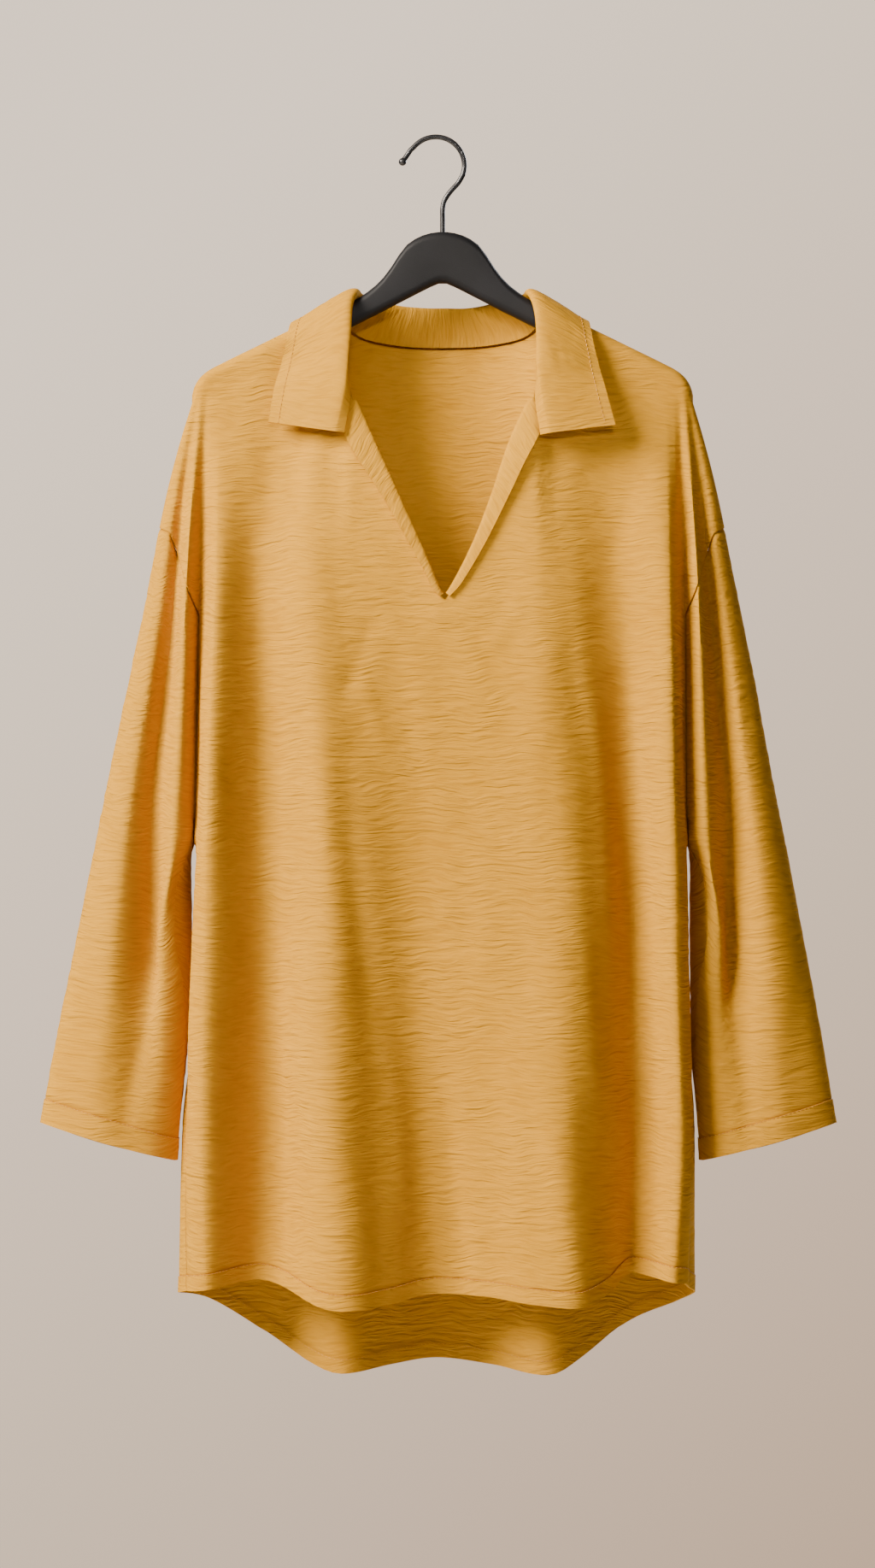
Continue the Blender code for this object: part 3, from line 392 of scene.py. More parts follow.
FRONT_CREASES = (
    Crease(-128, -262, 130, 4, -1.3, 9),
    Crease(-112, -300, 120, -6, 1.0, 8),
    Crease(-72, -425, 70, -32, -1.5, 8),
    Crease(-60, -468, 70, 6, 1.2, 7),
    Crease(29, -421, 46, 14, -1.2, 6),
    Crease(-28, -520, 150, 3, -0.9, 8),
    Crease(18, -640, 190, -3, 0.9, 10),
    Crease(-118, -560, 170, 2, -1.1, 10),
    Crease(-128, -760, 190, -3, 1.2, 9),
    Crease(-70, -800, 170, 4, 1.0, 9),
    Crease(-22, -860, 150, -2, -1.2, 9),
    Crease(66, -830, 180, 3, 1.1, 10),
    Crease(84, -560, 170, -4, -0.9, 8),
    Crease(122, -470, 140, 5, 1.0, 8),
    Crease(148, -620, 200, -2, -1.2, 9),
    Crease(136, -845, 140, 4, 1.1, 9),
    Crease(172, -760, 160, 2, 0.9, 8),
    Crease(-176, -520, 180, -2, 0.9, 8),
    Crease(-184, -820, 160, 3, -0.9, 8),
    Crease(120, -250, 90, -18, 1.3, 9),
    Crease(150, -300, 110, -10, -1.2, 9),
    Crease(-158, -300, 110, 12, 1.1, 9),
    Crease(-40, -410, 60, 38, 1.0, 7),
    Crease(48, -395, 60, -36, 1.0, 7),
    Crease(-140, -860, 360, 0, 8.0, 32),
    Crease(-84, -640, 260, 3, -1.6, 12),
    Crease(104, -700, 300, -2, 1.6, 11),
)
BACK_CREASES = (
    Crease(-120, -300, 160, 5, 1.1, 9),
    Crease(-72, -420, 170, -3, -1.0, 9),
    Crease(-24, -330, 150, 4, 1.0, 8),
    Crease(26, -470, 190, -4, -1.1, 9),
    Crease(74, -340, 160, 3, 1.1, 9),
    Crease(118, -450, 180, -5, -1.1, 9),
    Crease(-150, -560, 190, 2, -1.0, 9),
    Crease(-100, -690, 190, -4, 1.1, 10),
    Crease(-44, -640, 160, 3, -0.9, 8),
    Crease(14, -740, 190, -2, 1.0, 9),
    Crease(66, -650, 170, 4, -1.1, 9),
    Crease(126, -720, 190, -3, 1.0, 9),
    Crease(-70, -880, 150, 3, -1.1, 9),
    Crease(-10, -920, 130, -4, 1.0, 8),
    Crease(52, -890, 150, 3, 1.1, 9),
    Crease(110, -900, 140, -3, -1.0, 9),
    Crease(160, -600, 170, 3, 0.9, 8),
    Crease(-168, -800, 160, -2, 1.0, 8),
)
SLEEVE_CREASES = (
    Crease(-60, -440, 120, 8, 1.0, 8),
    Crease(-30, -520, 140, -5, -1.0, 8),
    Crease(28, -470, 150, 6, 1.0, 8),
    Crease(52, -560, 120, -8, -1.1, 7),
    Crease(-52, -650, 150, 4, 1.0, 9),
    Crease(-18, -730, 130, -4, -0.9, 8),
    Crease(22, -680, 150, 5, -1.0, 9),
    Crease(58, -740, 130, -4, 1.0, 8),
    Crease(-70, -770, 100, 3, -1.0, 8),
    Crease(84, -640, 130, 3, 0.9, 8),
)
CRINKLES = Pattern(30, 5.2, 1.0)
CRINKLE_BEND = Pattern(46, 42, 6.0)
CRINKLE_PATCHES = Pattern(80, 55, 0.5)
SOFT_SWELLS = Pattern(26, 75, 0.9)
STITCH = (
    StitchSection(0.0, -0.5, 0.35),
    StitchSection(0.2, 0.7, 1.0),
    StitchSection(0.8, 0.7, 1.0),
    StitchSection(1.0, -0.5, 0.35),
)
STITCH_ROWS = (("front_cloth", 5), ("back_cloth", 5), ("right_sleeve_cloth", 7),
               ("left_sleeve_cloth", 7), ("collar_cloth", 3))
LAMPS = (
    Lamp("key_lamp", (-2.72, -1.9, 1.55), 1.8, 480.0, "#FFF4E6"),
    Lamp("front_lamp", (0.1, -2.7, 2.0), 1.4, 6.0, "#FFFAF4"),
    Lamp("back_lamp", (1.8, 2.4, 0.7), 1.8, 90.0, "#F4F7FF"),
)

BODY_FOLDS = {Face.FRONT: FRONT, Face.BACK: BACK}
SLEEVE_FOLDS = {Face.FRONT: SLEEVE_FRONT, Face.BACK: SLEEVE_BACK}
ARMHOLES = {Face.FRONT: ARMHOLE_FRONT, Face.BACK: ARMHOLE_BACK}
SLITS = {Side.RIGHT: SLIT_RIGHT, Side.LEFT: SLIT_LEFT}
LAPELS = {Side.RIGHT: LAPEL_RIGHT, Side.LEFT: LAPEL_LEFT}


def hermite_weights(t: np.ndarray) -> tuple[np.ndarray, np.ndarray, np.ndarray, np.ndarray]:
    """Return a cubic curve's weights at t: start, slope there, end, and slope there, to be taken away."""
    return (1 + 2 * t) * (1 - t) ** 2, t * (1 - t) ** 2, t * t * (3 - 2 * t), t * t * (1 - t)


def monotone(levels: Sequence[float], values: Sequence[float], at: np.ndarray | float) -> np.ndarray:
    """Interpolate smoothly through the values without overshoot.

    Args:
        levels: Places of the values, all rising or all falling.
        values: The values there.
        at: Where to read the curve.

    Returns:
        The values at those places.
    """
    knots, heights = np.array(levels, float), np.array(values, float)
    if knots[0] > knots[-1]:
        knots, heights = knots[::-1], heights[::-1]
    gaps = np.diff(knots)
    steps = np.diff(heights) / gaps
    same = steps[:-1] * steps[1:] > 0
    before, after = 2 * gaps[1:] + gaps[:-1], gaps[1:] + 2 * gaps[:-1]
    safe = np.where(same, steps[:-1] * steps[1:], 1.0)
    mean = before * steps[1:] + after * steps[:-1] + 1e-30 * ~same
    slopes = np.zeros_like(heights)
    slopes[1:-1] = np.where(same, (before + after) * safe / mean, 0.0)
    slopes[0], slopes[-1] = steps[0], steps[-1]
    x = np.clip(np.asarray(at, float), knots[0], knots[-1])
    i = np.clip(np.searchsorted(knots, x, side="right") - 1, 0, len(gaps) - 1)
    start, leaving, end, arriving = hermite_weights((x - knots[i]) / gaps[i])
    return (start * heights[i] + leaving * gaps[i] * slopes[i]
            + end * heights[i + 1] - arriving * gaps[i] * slopes[i + 1])


def smoothstep(share: np.ndarray | float) -> np.ndarray:
    """Return a soft step from 0 to 1 as share goes from 0 to 1."""
    share = np.clip(share, 0.0, 1.0)
    return share * share * (3 - 2 * share)


def spline(knots: np.ndarray, at: np.ndarray) -> np.ndarray:
    """Read centripetal Catmull-Rom curves, one for each level.

    Args:
        knots: Levels by knots by coordinates; the first and last knots only give end slopes.
        at: Places along the inner knots, from 0.

    Returns:
        Levels by places by coordinates.
    """
    gaps = np.maximum(np.linalg.norm(np.diff(knots, axis=1), axis=2), 1e-6) ** 0.5
    t = np.concatenate([np.zeros((len(knots), 1)), np.cumsum(gaps, axis=1)], axis=1)
    steps = np.diff(knots, axis=1) / np.diff(t, axis=1)[..., None]
    across = (knots[:, 2:] - knots[:, :-2]) / (t[:, 2:] - t[:, :-2])[..., None]
    slopes = steps[:, :-1] - across + steps[:, 1:]
    i = np.minimum(np.asarray(at).astype(int), knots.shape[1] - 4) + 1
    span = (t[:, i + 1] - t[:, i])[..., None]
    start, leaving, end, arriving = hermite_weights((np.asarray(at) - (i - 1))[None, :, None])
    return (start * knots[:, i] + leaving * slopes[:, i - 1] * span
            + end * knots[:, i + 1] - arriving * slopes[:, i] * span)


def with_ends(points: np.ndarray) -> np.ndarray:
    """Return the points with one more at each end, mirrored, as spline needs."""
    return np.concatenate([[2 * points[0] - points[1]], points, [2 * points[-1] - points[-2]]])


def run_lengths(line: np.ndarray) -> np.ndarray:
    """Return how far along a polyline each of its points lies, from 0."""
    return np.concatenate([[0.0], np.cumsum(np.linalg.norm(np.diff(line, axis=0), axis=1))])


def along_line(points: Sequence[Sequence[float]], share: float) -> np.ndarray:
    """Find a point of a polyline, smoothed through its corners.

    Args:
        points: The polyline's corners.
        share: The share of its length, from 0 to 1.

    Returns:
        The point there.
    """
    line = np.array(points, float)
    lengths = run_lengths(line)
    target = min(max(share, 0.0), 1.0) * lengths[-1]
    i = min(int(np.searchsorted(lengths, target, side="right")) - 1, len(line) - 2)
    place = i + (target - lengths[i]) / (lengths[i + 1] - lengths[i])
    return spline(with_ends(line)[None], np.array([place]))[0, 0]


def lattice_noise(x: np.ndarray, y: np.ndarray, seed: int) -> np.ndarray:
    """Smooth noise from -1 to 1 on a unit lattice.

    Args:
        x: Places across, in lattice cells.
        y: Places down, in lattice cells.
        seed: Picks one of many patterns.

    Returns:
        The noise at those places.
    """
    ix, iy = np.floor(x).astype(np.int64), np.floor(y).astype(np.int64)
    fx, fy = x - ix, y - iy
    fx, fy = fx * fx * (3 - 2 * fx), fy * fy * (3 - 2 * fy)

    def corner(dx: int, dy: int) -> np.ndarray:
        """Scramble each cell's corner (dx, dy), and return a value from -1 to 1 there.

        Args:
            dx: 0 or 1, the corner across.
            dy: 0 or 1, the corner down.

        Returns:
            The values.
        """
        h = ((ix + dx) * 374761393 + (iy + dy) * 668265263 + seed * 974634777) & 0xFFFFFFFF
        h = ((h ^ (h >> 13)) * 1274126177) & 0xFFFFFFFF
        return ((h ^ (h >> 16)) & 0xFFFF) / 32767.5 - 1.0

    top = corner(0, 0) * (1 - fx) + corner(1, 0) * fx
    low = corner(0, 1) * (1 - fx) + corner(1, 1) * fx
    return top * (1 - fy) + low * fy


def left_shift(z: np.ndarray | float) -> np.ndarray:
    """Return how much closer in the wearer's left side hangs at a height."""
    return monotone([r[0] for r in LEFT_SHIFT], [r[1] for r in LEFT_SHIFT], z)


class GarmentForm:
    """The cloth's middle surface, worked out from the fold lines and seams."""

    def on_side(self, side: Side, x: np.ndarray, y: np.ndarray, z: np.ndarray) -> np.ndarray:
        """Return a line's (x, y) on a side, from its distances outwards, depths and heights."""
        shift = left_shift(z) if side is Side.LEFT else 0.0
        return np.stack([side.value * (x - shift), y], axis=-1)

    def seam_at(self, line: Sequence[SeamPoint], side: Side, z: np.ndarray) -> np.ndarray:
        """Read a seam line.

        Args:
            line: The seam's points.
            side: Wearer's side.
            z: Heights.

        Returns:
            Its (x, y) at those heights.
        """
        levels = [p.z for p in line]
        x, y = monotone(levels, [p.x for p in line], z), monotone(levels, [p.y for p in line], z)
        return self.on_side(side, x, y, z)

    def body_fold_at(self, fold: Fold, z: np.ndarray) -> np.ndarray:
        """Read a fold line of the body.

        Args:
            fold: The fold line.
            z: Heights.

        Returns:
            Its (x, y) at those heights.
        """
        levels = (NOTCH_Z, UNDERARM_Z, WAIST_Z, HIP_Z, HEM_Z)
        pairs = (fold.notch_xy, fold.under_xy, fold.waist_xy, fold.hip_xy, fold.hem_xy)
        return np.stack([monotone(levels, [p[i] for p in pairs], z) for i in (0, 1)], axis=-1)

    def sleeve_fold_at(self, fold: SleeveFold, side: Side, z: np.ndarray) -> np.ndarray:
        """Return a sleeve fold line's (x, y) at heights z."""
        x, y = (monotone(SLEEVE_LEVELS, [p[i] for p in fold[2:]], z) for i in (0, 1))
        return self.on_side(side, x, y, z)

    def side_seam_at(self, face: Face, side: Side, under: Sequence[SeamPoint],
                     z: np.ndarray) -> np.ndarray:
        """Return the (x, y) of the armhole's seam and, below the arm, of the seam that goes on."""
        below = self.seam_at(under, side, z)
        return np.where((z < UNDERARM_Z)[:, None], below, self.seam_at(ARMHOLES[face], side, z))

    def edge_fold_at(self, face: Face, side: Side, z: np.ndarray) -> np.ndarray:
        """Return the (x, y) of the body's fold line next to the side seam."""
        return self.body_fold_at(BODY_FOLDS[face][1 if side is Side.RIGHT else -2], z)

    def parting(self, z: np.ndarray) -> np.ndarray:
        """Return 0 where sleeve and body are one surface, 1 where they are apart."""
        return smoothstep((z - PASSAGE_Z) / (UNDERARM_Z - PASSAGE_Z))[:, None]

    def body_section(self, face: Face, z: np.ndarray, at: np.ndarray) -> np.ndarray:
        """Sections of the front or back panel.

        Args:
            face: Which panel.
            z: Heights of the sections.
            at: Places along the panel's fold lines.

        Returns:
            Heights by places by (x, y).
        """
        knots = [self.body_fold_at(f, z) for f in BODY_FOLDS[face]]
        part = self.parting(z)
        ends = []
        for side, index in ((Side.RIGHT, 0), (Side.LEFT, -1)):
            knots[index] = self.side_seam_at(face, side, SIDE_SEAM, z)
            roll = self.sleeve_fold_at(SLEEVE_FOLDS[face][-1], side, z)
            ends.append(roll * (1 - part) + self.edge_fold_at(face.other, side, z) * part)
        return spline(np.stack([ends[0]] + knots + [ends[1]], axis=1), at)

    def sleeve_section(self, face: Face, side: Side, z: np.ndarray, at: np.ndarray) -> np.ndarray:
        """Sections of the sleeve's front or back half.

        Args:
            face: Which half.
            side: Which sleeve.
            z: Heights of the sections.
            at: Places from 0, the outer fold, to 4, the seam by the body.

        Returns:
            Heights by places by (x, y).
        """
        first = self.sleeve_fold_at(SLEEVE_FOLDS[face.other][1], side, z)
        knots = [first] + [self.sleeve_fold_at(f, side, z) for f in SLEEVE_FOLDS[face]]
        seam = self.side_seam_at(face, side, UNDERARM_SEAM, z)
        inner = self.sleeve_fold_at(INNER_BACK, side, z)
        edge = self.edge_fold_at(face, side, z)
        part = self.parting(z)
        if face is Face.FRONT:
            knots += [seam, edge * (1 - part) + inner * part]
            return spline(np.stack(knots, axis=1), at)
        roll = self.sleeve_fold_at(SLEEVE_FRONT[-1], side, z)
        share = np.maximum(part, INNER_SHARE)
        inner = (knots[-1] + seam) / 2 * (1 - share) + inner * share
        knots += [inner, seam, edge * (1 - part) + roll * part]
        roll_place = SLEEVE_SPANS - 1
        doubled = np.where(at <= roll_place, at, roll_place + (at - roll_place) * 2)
        return spline(np.stack(knots, axis=1), doubled)

    def top_point(self, face: Face, side: Side, top: float) -> np.ndarray:
        """Find where a grain line starts: on the shoulder, the neckline or the slit.

        Args:
            face: Front or back.
            side: Wearer's side.
            top: Its start: to 1 on the shoulder, to 2 on the neckline, to 3 on the front's slit.

        Returns:
            The point there.
        """
        if top <= 1:
            x = SHOULDER[-1][0] + (SHOULDER[0][0] - SHOULDER[-1][0]) * top
            z = float(monotone([p[0] for p in SHOULDER], [p[1] for p in SHOULDER], x))
            return np.array([side.value * x, 0.0, z])
        if face is Face.BACK or top <= 2:
            point = along_line(NECK_BACK if face is Face.BACK else NECK_FRONT, top - 1)
            return point * np.array([side.value, 1.0, 1.0])
        return along_line(SLITS[side], top - 2)

    def top_along(self, folds: Sequence[Fold | SleeveFold], place: float) -> float:
        """Find where the grain line at a place starts, crowded towards the neck's corner.

        Args:
            folds: The fold lines, each with its own start.
            place: The place along them, from 0.

        Returns:
            The start, as the folds' top has it.
        """
        i = min(int(place), len(folds) - 2)
        a, b, share = folds[i].top, folds[i + 1].top, place - i
        if a == 1.0 < b:
            return a + (b - a) * share ** NECK_CROWDING
        if b == 1.0 < a:
            return b + (a - b) * (1 - share) ** NECK_CROWDING
        return a + (b - a) * share

    def upper_line(self, face: Face, side: Side, top: float, low: np.ndarray,
                   slope: np.ndarray, turn_rows: int, rows: int) -> np.ndarray:
        """A grain line from its start down to the armhole's height.

        Args:
            face: Front or back.
            side: Wearer's side.
            top: Where the line starts.
            low: The point it ends in.
            slope: Its (x, y) slope there.
            turn_rows: Rows round the hanger's edge, or just under the neckline.
            rows: Rows below those.

        Returns:
            The line's points.
        """
        start = self.top_point(face, side, top)
        seam_top, ridge_top = FRONT[0].top, FRONT[2].top
        share = np.linspace(0, 1, turn_rows + 1)
        if top <= 1 or abs(start[1]) < SHOULDER_ROUND:
            opened = min(top / seam_top, 1.0)
            depth = SHOULDER_ROUND * math.sqrt(1 - (1 - opened) ** 2)
            first_turn = 0.0 if top <= 1 else math.asin(abs(start[1]) / SHOULDER_ROUND)
            turn = first_turn + (math.pi / 2 - first_turn) * share
            y = face.value * depth * np.sin(turn)
            drop = SHOULDER_ROUND * (math.cos(first_turn) - np.cos(turn))
            points = np.stack([np.full_like(turn, start[0]), y, start[2] - drop], axis=-1)
            points[0] = start
        else:
            reach = min(NECK_TURN / np.linalg.norm(low - start), NECK_TURN_SHARE)
            points = start + (low - start) * (share * reach)[:, None]
        begin = points[-1]
        inwards = float(smoothstep((top - ridge_top) / (1 - ridge_top)))
        lean = OUTER_LEAN + (1 - OUTER_LEAN) * inwards
        first = (low - begin) * np.array([1.0, lean if top <= 1 else 1.0, 1.0])
        if top < seam_top:
            first[0] *= 1.0 + OUTER_SPREAD * (1 - top / seam_top)
        span = begin[2] - low[2]
        last = np.array([slope[0] * span, slope[1] * span, low[2] - begin[2]])
        here, leaving, there, arriving = hermite_weights((np.arange(1, rows + 1) / rows)[:, None])
        rest = here * begin + leaving * first + there * low - arriving * last
        return np.concatenate([points, rest])


FORM = GarmentForm()


def places(spans: int, cells: int) -> np.ndarray:
    """Return places along fold lines, with this many cells from each to the next."""
    return np.linspace(0, spans, spans * cells + 1)


@dataclass
class Grid:
    """Columns of cloth points with their flat coordinates.

    Args:
        columns: Points of each column, top to bottom, in millimetres.
        flat: The same points' (u, v) in the flat cloth, in millimetres.
        band_rows: How many rows at the lower end are turned up as a hem.
        full: Row count of the columns that reach the hem, or -1 where there is none.
    """

    columns: list[np.ndarray]
    flat: list[np.ndarray]
    band_rows: int
    full: int

    def faces(self) -> list[tuple[int, int, int, int]]:
        """Return quads over the grid, as indices into the stacked columns."""
        starts = np.concatenate([[0], np.cumsum([len(c) for c in self.columns])])
        found = []
        for c in range(len(self.columns) - 1):
            a, b = int(starts[c]), int(starts[c + 1])
            for r in range(min(len(self.columns[c]), len(self.columns[c + 1])) - 1):
                found.append((a + r, a + r + 1, b + r + 1, b + r))
        return found

    def row(self, rows_up: int) -> np.ndarray:
        """Find a row counted up from the hem's edge.

        Args:
            rows_up: How many rows up, from 0.

        Returns:
            Its points, as indices into the stacked columns.
        """
        ends = np.cumsum([len(c) for c in self.columns])
        reaching = [len(c) == self.full for c in self.columns]
        return ends[reaching] - 1 - rows_up


def hex_colour(value: str) -> tuple[float, float, float, float]:
    """Turn an sRGB hex value into linear light.

    Args:
        value: The colour, as "#RRGGBB".

    Returns:
        Its red, green, blue and alpha.
    """
    parts = [int(value[i:i + 2], 16) / 255 for i in (1, 3, 5)]
    linear = [p / 12.92 if p <= 0.04045 else ((p + 0.055) / 1.055) ** 2.4 for p in parts]
    return (*linear, 1.0)


def fill_inputs(tree: bpy.types.NodeTree, node: bpy.types.Node, inputs: dict) -> None:
    """Give a node's inputs their values and links.

    Args:
        tree: The node tree.
        node: The node.
        inputs: Input names or numbers, each with a value or with the socket it takes.
    """
    for name, value in inputs.items():
        if isinstance(value, bpy.types.NodeSocket):
            tree.links.new(value, node.inputs[name])
        else:
            node.inputs[name].default_value = value


def set_stops(ramp: bpy.types.ColorRamp, stops: Sequence[tuple[float, str]]) -> None:
    """Give a colour ramp its stops.

    Args:
        ramp: The ramp.
        stops: Each stop's place, from 0 to 1, and its hex colour.
    """
    while len(ramp.elements) < len(stops):
        ramp.elements.new(0.5)
    for element, (place, colour) in zip(ramp.elements, stops):
        element.position = place
        element.color = hex_colour(colour)


def add_node(tree: bpy.types.NodeTree, kind: str, settings: dict | None = None,
             inputs: dict | None = None) -> bpy.types.Node:
    """Add a node with its settings and links.

    Args:
        tree: The node tree.
        kind: The node's type name.
        settings: Attributes to set, or "stops" for a colour ramp.
        inputs: Input names or numbers, each with a value or with the socket it takes.

    Returns:
        The new node.
    """
    node = tree.nodes.new(kind)
    for name, value in (settings or {}).items():
        if name == "stops":
            set_stops(node.color_ramp, value)
        else:
            setattr(node, name, value)
    fill_inputs(tree, node, inputs or {})
    return node


def new_material(name: str) -> tuple[bpy.types.Material, bpy.types.NodeTree, bpy.types.Node]:
    """Make a material with the usual shader.

    Args:
        name: The material's name.

    Returns:
        The material, its node tree and its shader.
    """
    material = bpy.data.materials.new(name)
    material.use_nodes = True
    return material, material.node_tree, material.node_tree.nodes["Principled BSDF"]


class Relief(NamedTuple):
    """A pattern woven or pressed into the cloth: its cells in millimetres, detail and distortion."""

    name: str
    across: float
    down: float
    detail: float
    bend: float


@dataclass(frozen=True)
class CrinkleCloth:
    """Light cotton gauze, crinkled across by heat-set pleating and piece-dyed mustard.

    Painted shade darkens the crinkles' troughs, over a broad random tone; the matt yarn keeps
    highlights and sheen faint. The yarn is drawn about twice as coarse as real yarn, so that it shows.
    """

    name: str = "crinkled_cotton_gauze"
    ridge: str = "#CF9628"
    middle: str = "#C89022"
    trough: str = "#BD851A"
    seam_shade_colour: str = "#8A520C"
    sheen_tint: str = "#F0C27A"
    crinkle_mm: float = 2.3
    crinkle_length_mm: float = 17.0
    yarn_mm: float = 0.9
    lie: float = 0.0
    relief_mm: float = 1.1
    wave_mm: float = 46.0
    wave_rise_mm: float = 12.0
    fine_share: float = 0.14
    yarn_share: float = 0.05
    broad_share: float = 0.5
    patch_noise: tuple[float, float] = (0.34, 0.66)
    patch_strength: tuple[float, float] = (0.45, 1.15)
    tone_and_shade_heights: tuple[float, float] = (0.35, 1.15)
    tone_and_shade_middle: float = 0.45
    roughness: float = 0.86
    ior: float = 1.45
    specular: float = 0.05
    sheen: float = 0.01

    def waved_flat(self, tree: bpy.types.NodeTree) -> bpy.types.NodeSocket:
        """Lay out the flat cloth's coordinates, turned to its grain and gently waved.

        Args:
            tree: The material's node tree.

        Returns:
            The coordinates, in metres.
        """
        uv = add_node(tree, "ShaderNodeUVMap", {"uv_map": "cloth_mm"})
        turned = add_node(tree, "ShaderNodeMapping", inputs={
            "Vector": uv.outputs["UV"], "Rotation": (0.0, 0.0, math.radians(self.lie))})
        warp = add_node(tree, "ShaderNodeTexNoise", {"noise_dimensions": "2D"}, {
            "Vector": turned.outputs["Vector"], "Scale": 1000 / self.wave_mm, "Detail": 1.0})
        lift = add_node(tree, "ShaderNodeMath", {"operation": "MULTIPLY_ADD"}, {
            0: warp.outputs["Fac"], 1: self.wave_rise_mm * MM, 2: -self.wave_rise_mm * MM / 2})
        upward = add_node(tree, "ShaderNodeCombineXYZ", inputs={"Y": lift.outputs[0]})
        return add_node(tree, "ShaderNodeVectorMath", {"operation": "ADD"}, {
            0: turned.outputs["Vector"], 1: upward.outputs[0]}).outputs[0]

    def build(self) -> bpy.types.Material:
        """Return the material."""
        material, tree, shader = new_material(self.name)
        flat = self.waved_flat(tree)
        heights: dict[str, bpy.types.NodeSocket] = {}
        for layer in (Relief("pleat", 34.0, 4.6, 1.0, 0.5),
                      Relief("crinkle", self.crinkle_length_mm, self.crinkle_mm, 1.5, 0.45),
                      Relief("fine", 5.0, 1.2, 1.0, 0.2),
                      Relief("broad", 62.0, 46.0, 2.0, 0.3),
                      Relief("yarn", self.yarn_mm, self.yarn_mm, 0.0, 0.0)):
            scaled = add_node(tree, "ShaderNodeVectorMath", {"operation": "MULTIPLY"},
                              {0: flat, 1: (1000 / layer.across, 1000 / layer.down, 1.0)})
            heights[layer.name] = add_node(tree, "ShaderNodeTexNoise", {"noise_dimensions": "2D"}, {
                "Vector": scaled.outputs[0], "Scale": 1.0, "Detail": layer.detail,
                "Roughness": 0.5, "Distortion": layer.bend}).outputs["Fac"]
        strength = add_node(tree, "ShaderNodeMapRange", inputs={
            "Value": heights["broad"], "From Min": self.patch_noise[0],
            "From Max": self.patch_noise[1], "To Min": self.patch_strength[0],
            "To Max": self.patch_strength[1]}).outputs["Result"]
        for name, height, share, base in (("ridges", "crinkle", strength, "pleat"),
                                          ("weave", "fine", self.fine_share, "ridges"),
                                          ("relief", "yarn", self.yarn_share, "weave"),
                                          ("shade", "broad", self.broad_share, "crinkle")):
            heights[name] = add_node(tree, "ShaderNodeMath", {"operation": "MULTIPLY_ADD"},
                                     {0: heights[height], 1: share, 2: heights[base]}).outputs[0]
        # Painted shade: the colour ramp darkens the crinkles' troughs, with the broad random tone added in.
        depth = add_node(tree, "ShaderNodeMapRange", inputs={
            "Value": heights["shade"], "From Min": self.tone_and_shade_heights[0],
            "From Max": self.tone_and_shade_heights[1]})
        tone_and_shade_stops = ((0.0, self.trough), (self.tone_and_shade_middle, self.middle), (1.0, self.ridge))
        colour = add_node(tree, "ShaderNodeValToRGB", {"stops": tone_and_shade_stops}, {"Fac": depth.outputs["Result"]})
        bump = add_node(tree, "ShaderNodeBump", inputs={
            "Strength": 1.0, "Distance": self.relief_mm * MM, "Height": heights["relief"]})
        # Painted shade: the seam attribute mixes the darker seam colour in along sewn edges and above the
        # hem.
        seam = add_node(tree, "ShaderNodeAttribute", {"attribute_name": "seam"})
        edged = add_node(tree, "ShaderNodeMix", {"data_type": "RGBA"}, {
            0: seam.outputs["Fac"], 6: colour.outputs["Color"], 7: hex_colour(self.seam_shade_colour)})
        fill_inputs(tree, shader, {
            "Base Color": edged.outputs[2], "Normal": bump.outputs["Normal"],
            "Roughness": self.roughness, "IOR": self.ior, "Specular IOR Level": self.specular,
            "Sheen Weight": self.sheen, "Sheen Roughness": 0.5,
            "Sheen Tint": hex_colour(self.sheen_tint)})
        return material


@dataclass(frozen=True)
class SewingThread:
    """Spun polyester thread, dyed to the cloth, a little brighter and smoother than it."""

    name: str = "polyester_sewing_thread"
    shaded: str = "#B57A2A"
    lit: str = "#D99F45"
    strands_per_metre: float = 900.0
    roughness: float = 0.6

    def build(self) -> bpy.types.Material:
        """Return the material."""
        material, tree, shader = new_material(self.name)
        place = add_node(tree, "ShaderNodeTexCoord")
        noise = add_node(tree, "ShaderNodeTexNoise", inputs={
            "Vector": place.outputs["Object"], "Scale": self.strands_per_metre, "Detail": 1.0})
        # Painted light and shade: the thread's strands are drawn lit and shaded at random along it.
        lit_and_shaded_strands = ((0.3, self.shaded), (0.7, self.lit))
        colour = add_node(tree, "ShaderNodeValToRGB", {"stops": lit_and_shaded_strands}, {"Fac": noise.outputs["Fac"]})
        fill_inputs(tree, shader, {"Base Color": colour.outputs["Color"], "Roughness": self.roughness})
        return material


@dataclass(frozen=True)
class MouldedBlack:
    """Black ABS with a fine spark-eroded texture, which keeps highlights wide and dull."""

    name: str = "moulded_black_abs"
    dark: str = "#131315"
    light: str = "#1B1B1E"
    grain_mm: float = 0.9
    grain_depth_mm: float = 0.3
    grain_strength: float = 0.25
    wear_per_metre: float = 22.0
    ior: float = 1.53
    specular: float = 0.25

    def build(self) -> bpy.types.Material:
        """Return the material."""
        material, tree, shader = new_material(self.name)
        place = add_node(tree, "ShaderNodeTexCoord").outputs["Object"]
        grain = add_node(tree, "ShaderNodeTexNoise", inputs={
            "Vector": place, "Scale": 1000 / self.grain_mm, "Detail": 2.0})
        wear = add_node(tree, "ShaderNodeTexNoise", inputs={
            "Vector": place, "Scale": self.wear_per_metre, "Detail": 3.0}).outputs["Fac"]
        blacks = ((0.35, self.dark), (0.75, self.light))
        colour = add_node(tree, "ShaderNodeValToRGB", {"stops": blacks}, {"Fac": wear})
        bump = add_node(tree, "ShaderNodeBump", inputs={
            "Strength": self.grain_strength, "Distance": self.grain_depth_mm * MM,
            "Height": grain.outputs["Fac"]})
        rough = add_node(tree, "ShaderNodeMapRange", inputs={"Value": wear, "To Min": 0.48, "To Max": 0.62})
        fill_inputs(tree, shader, {
            "Base Color": colour.outputs["Color"], "Normal": bump.outputs["Normal"],
            "Roughness": rough.outputs["Result"], "IOR": self.ior, "Specular IOR Level": self.specular})
        return material


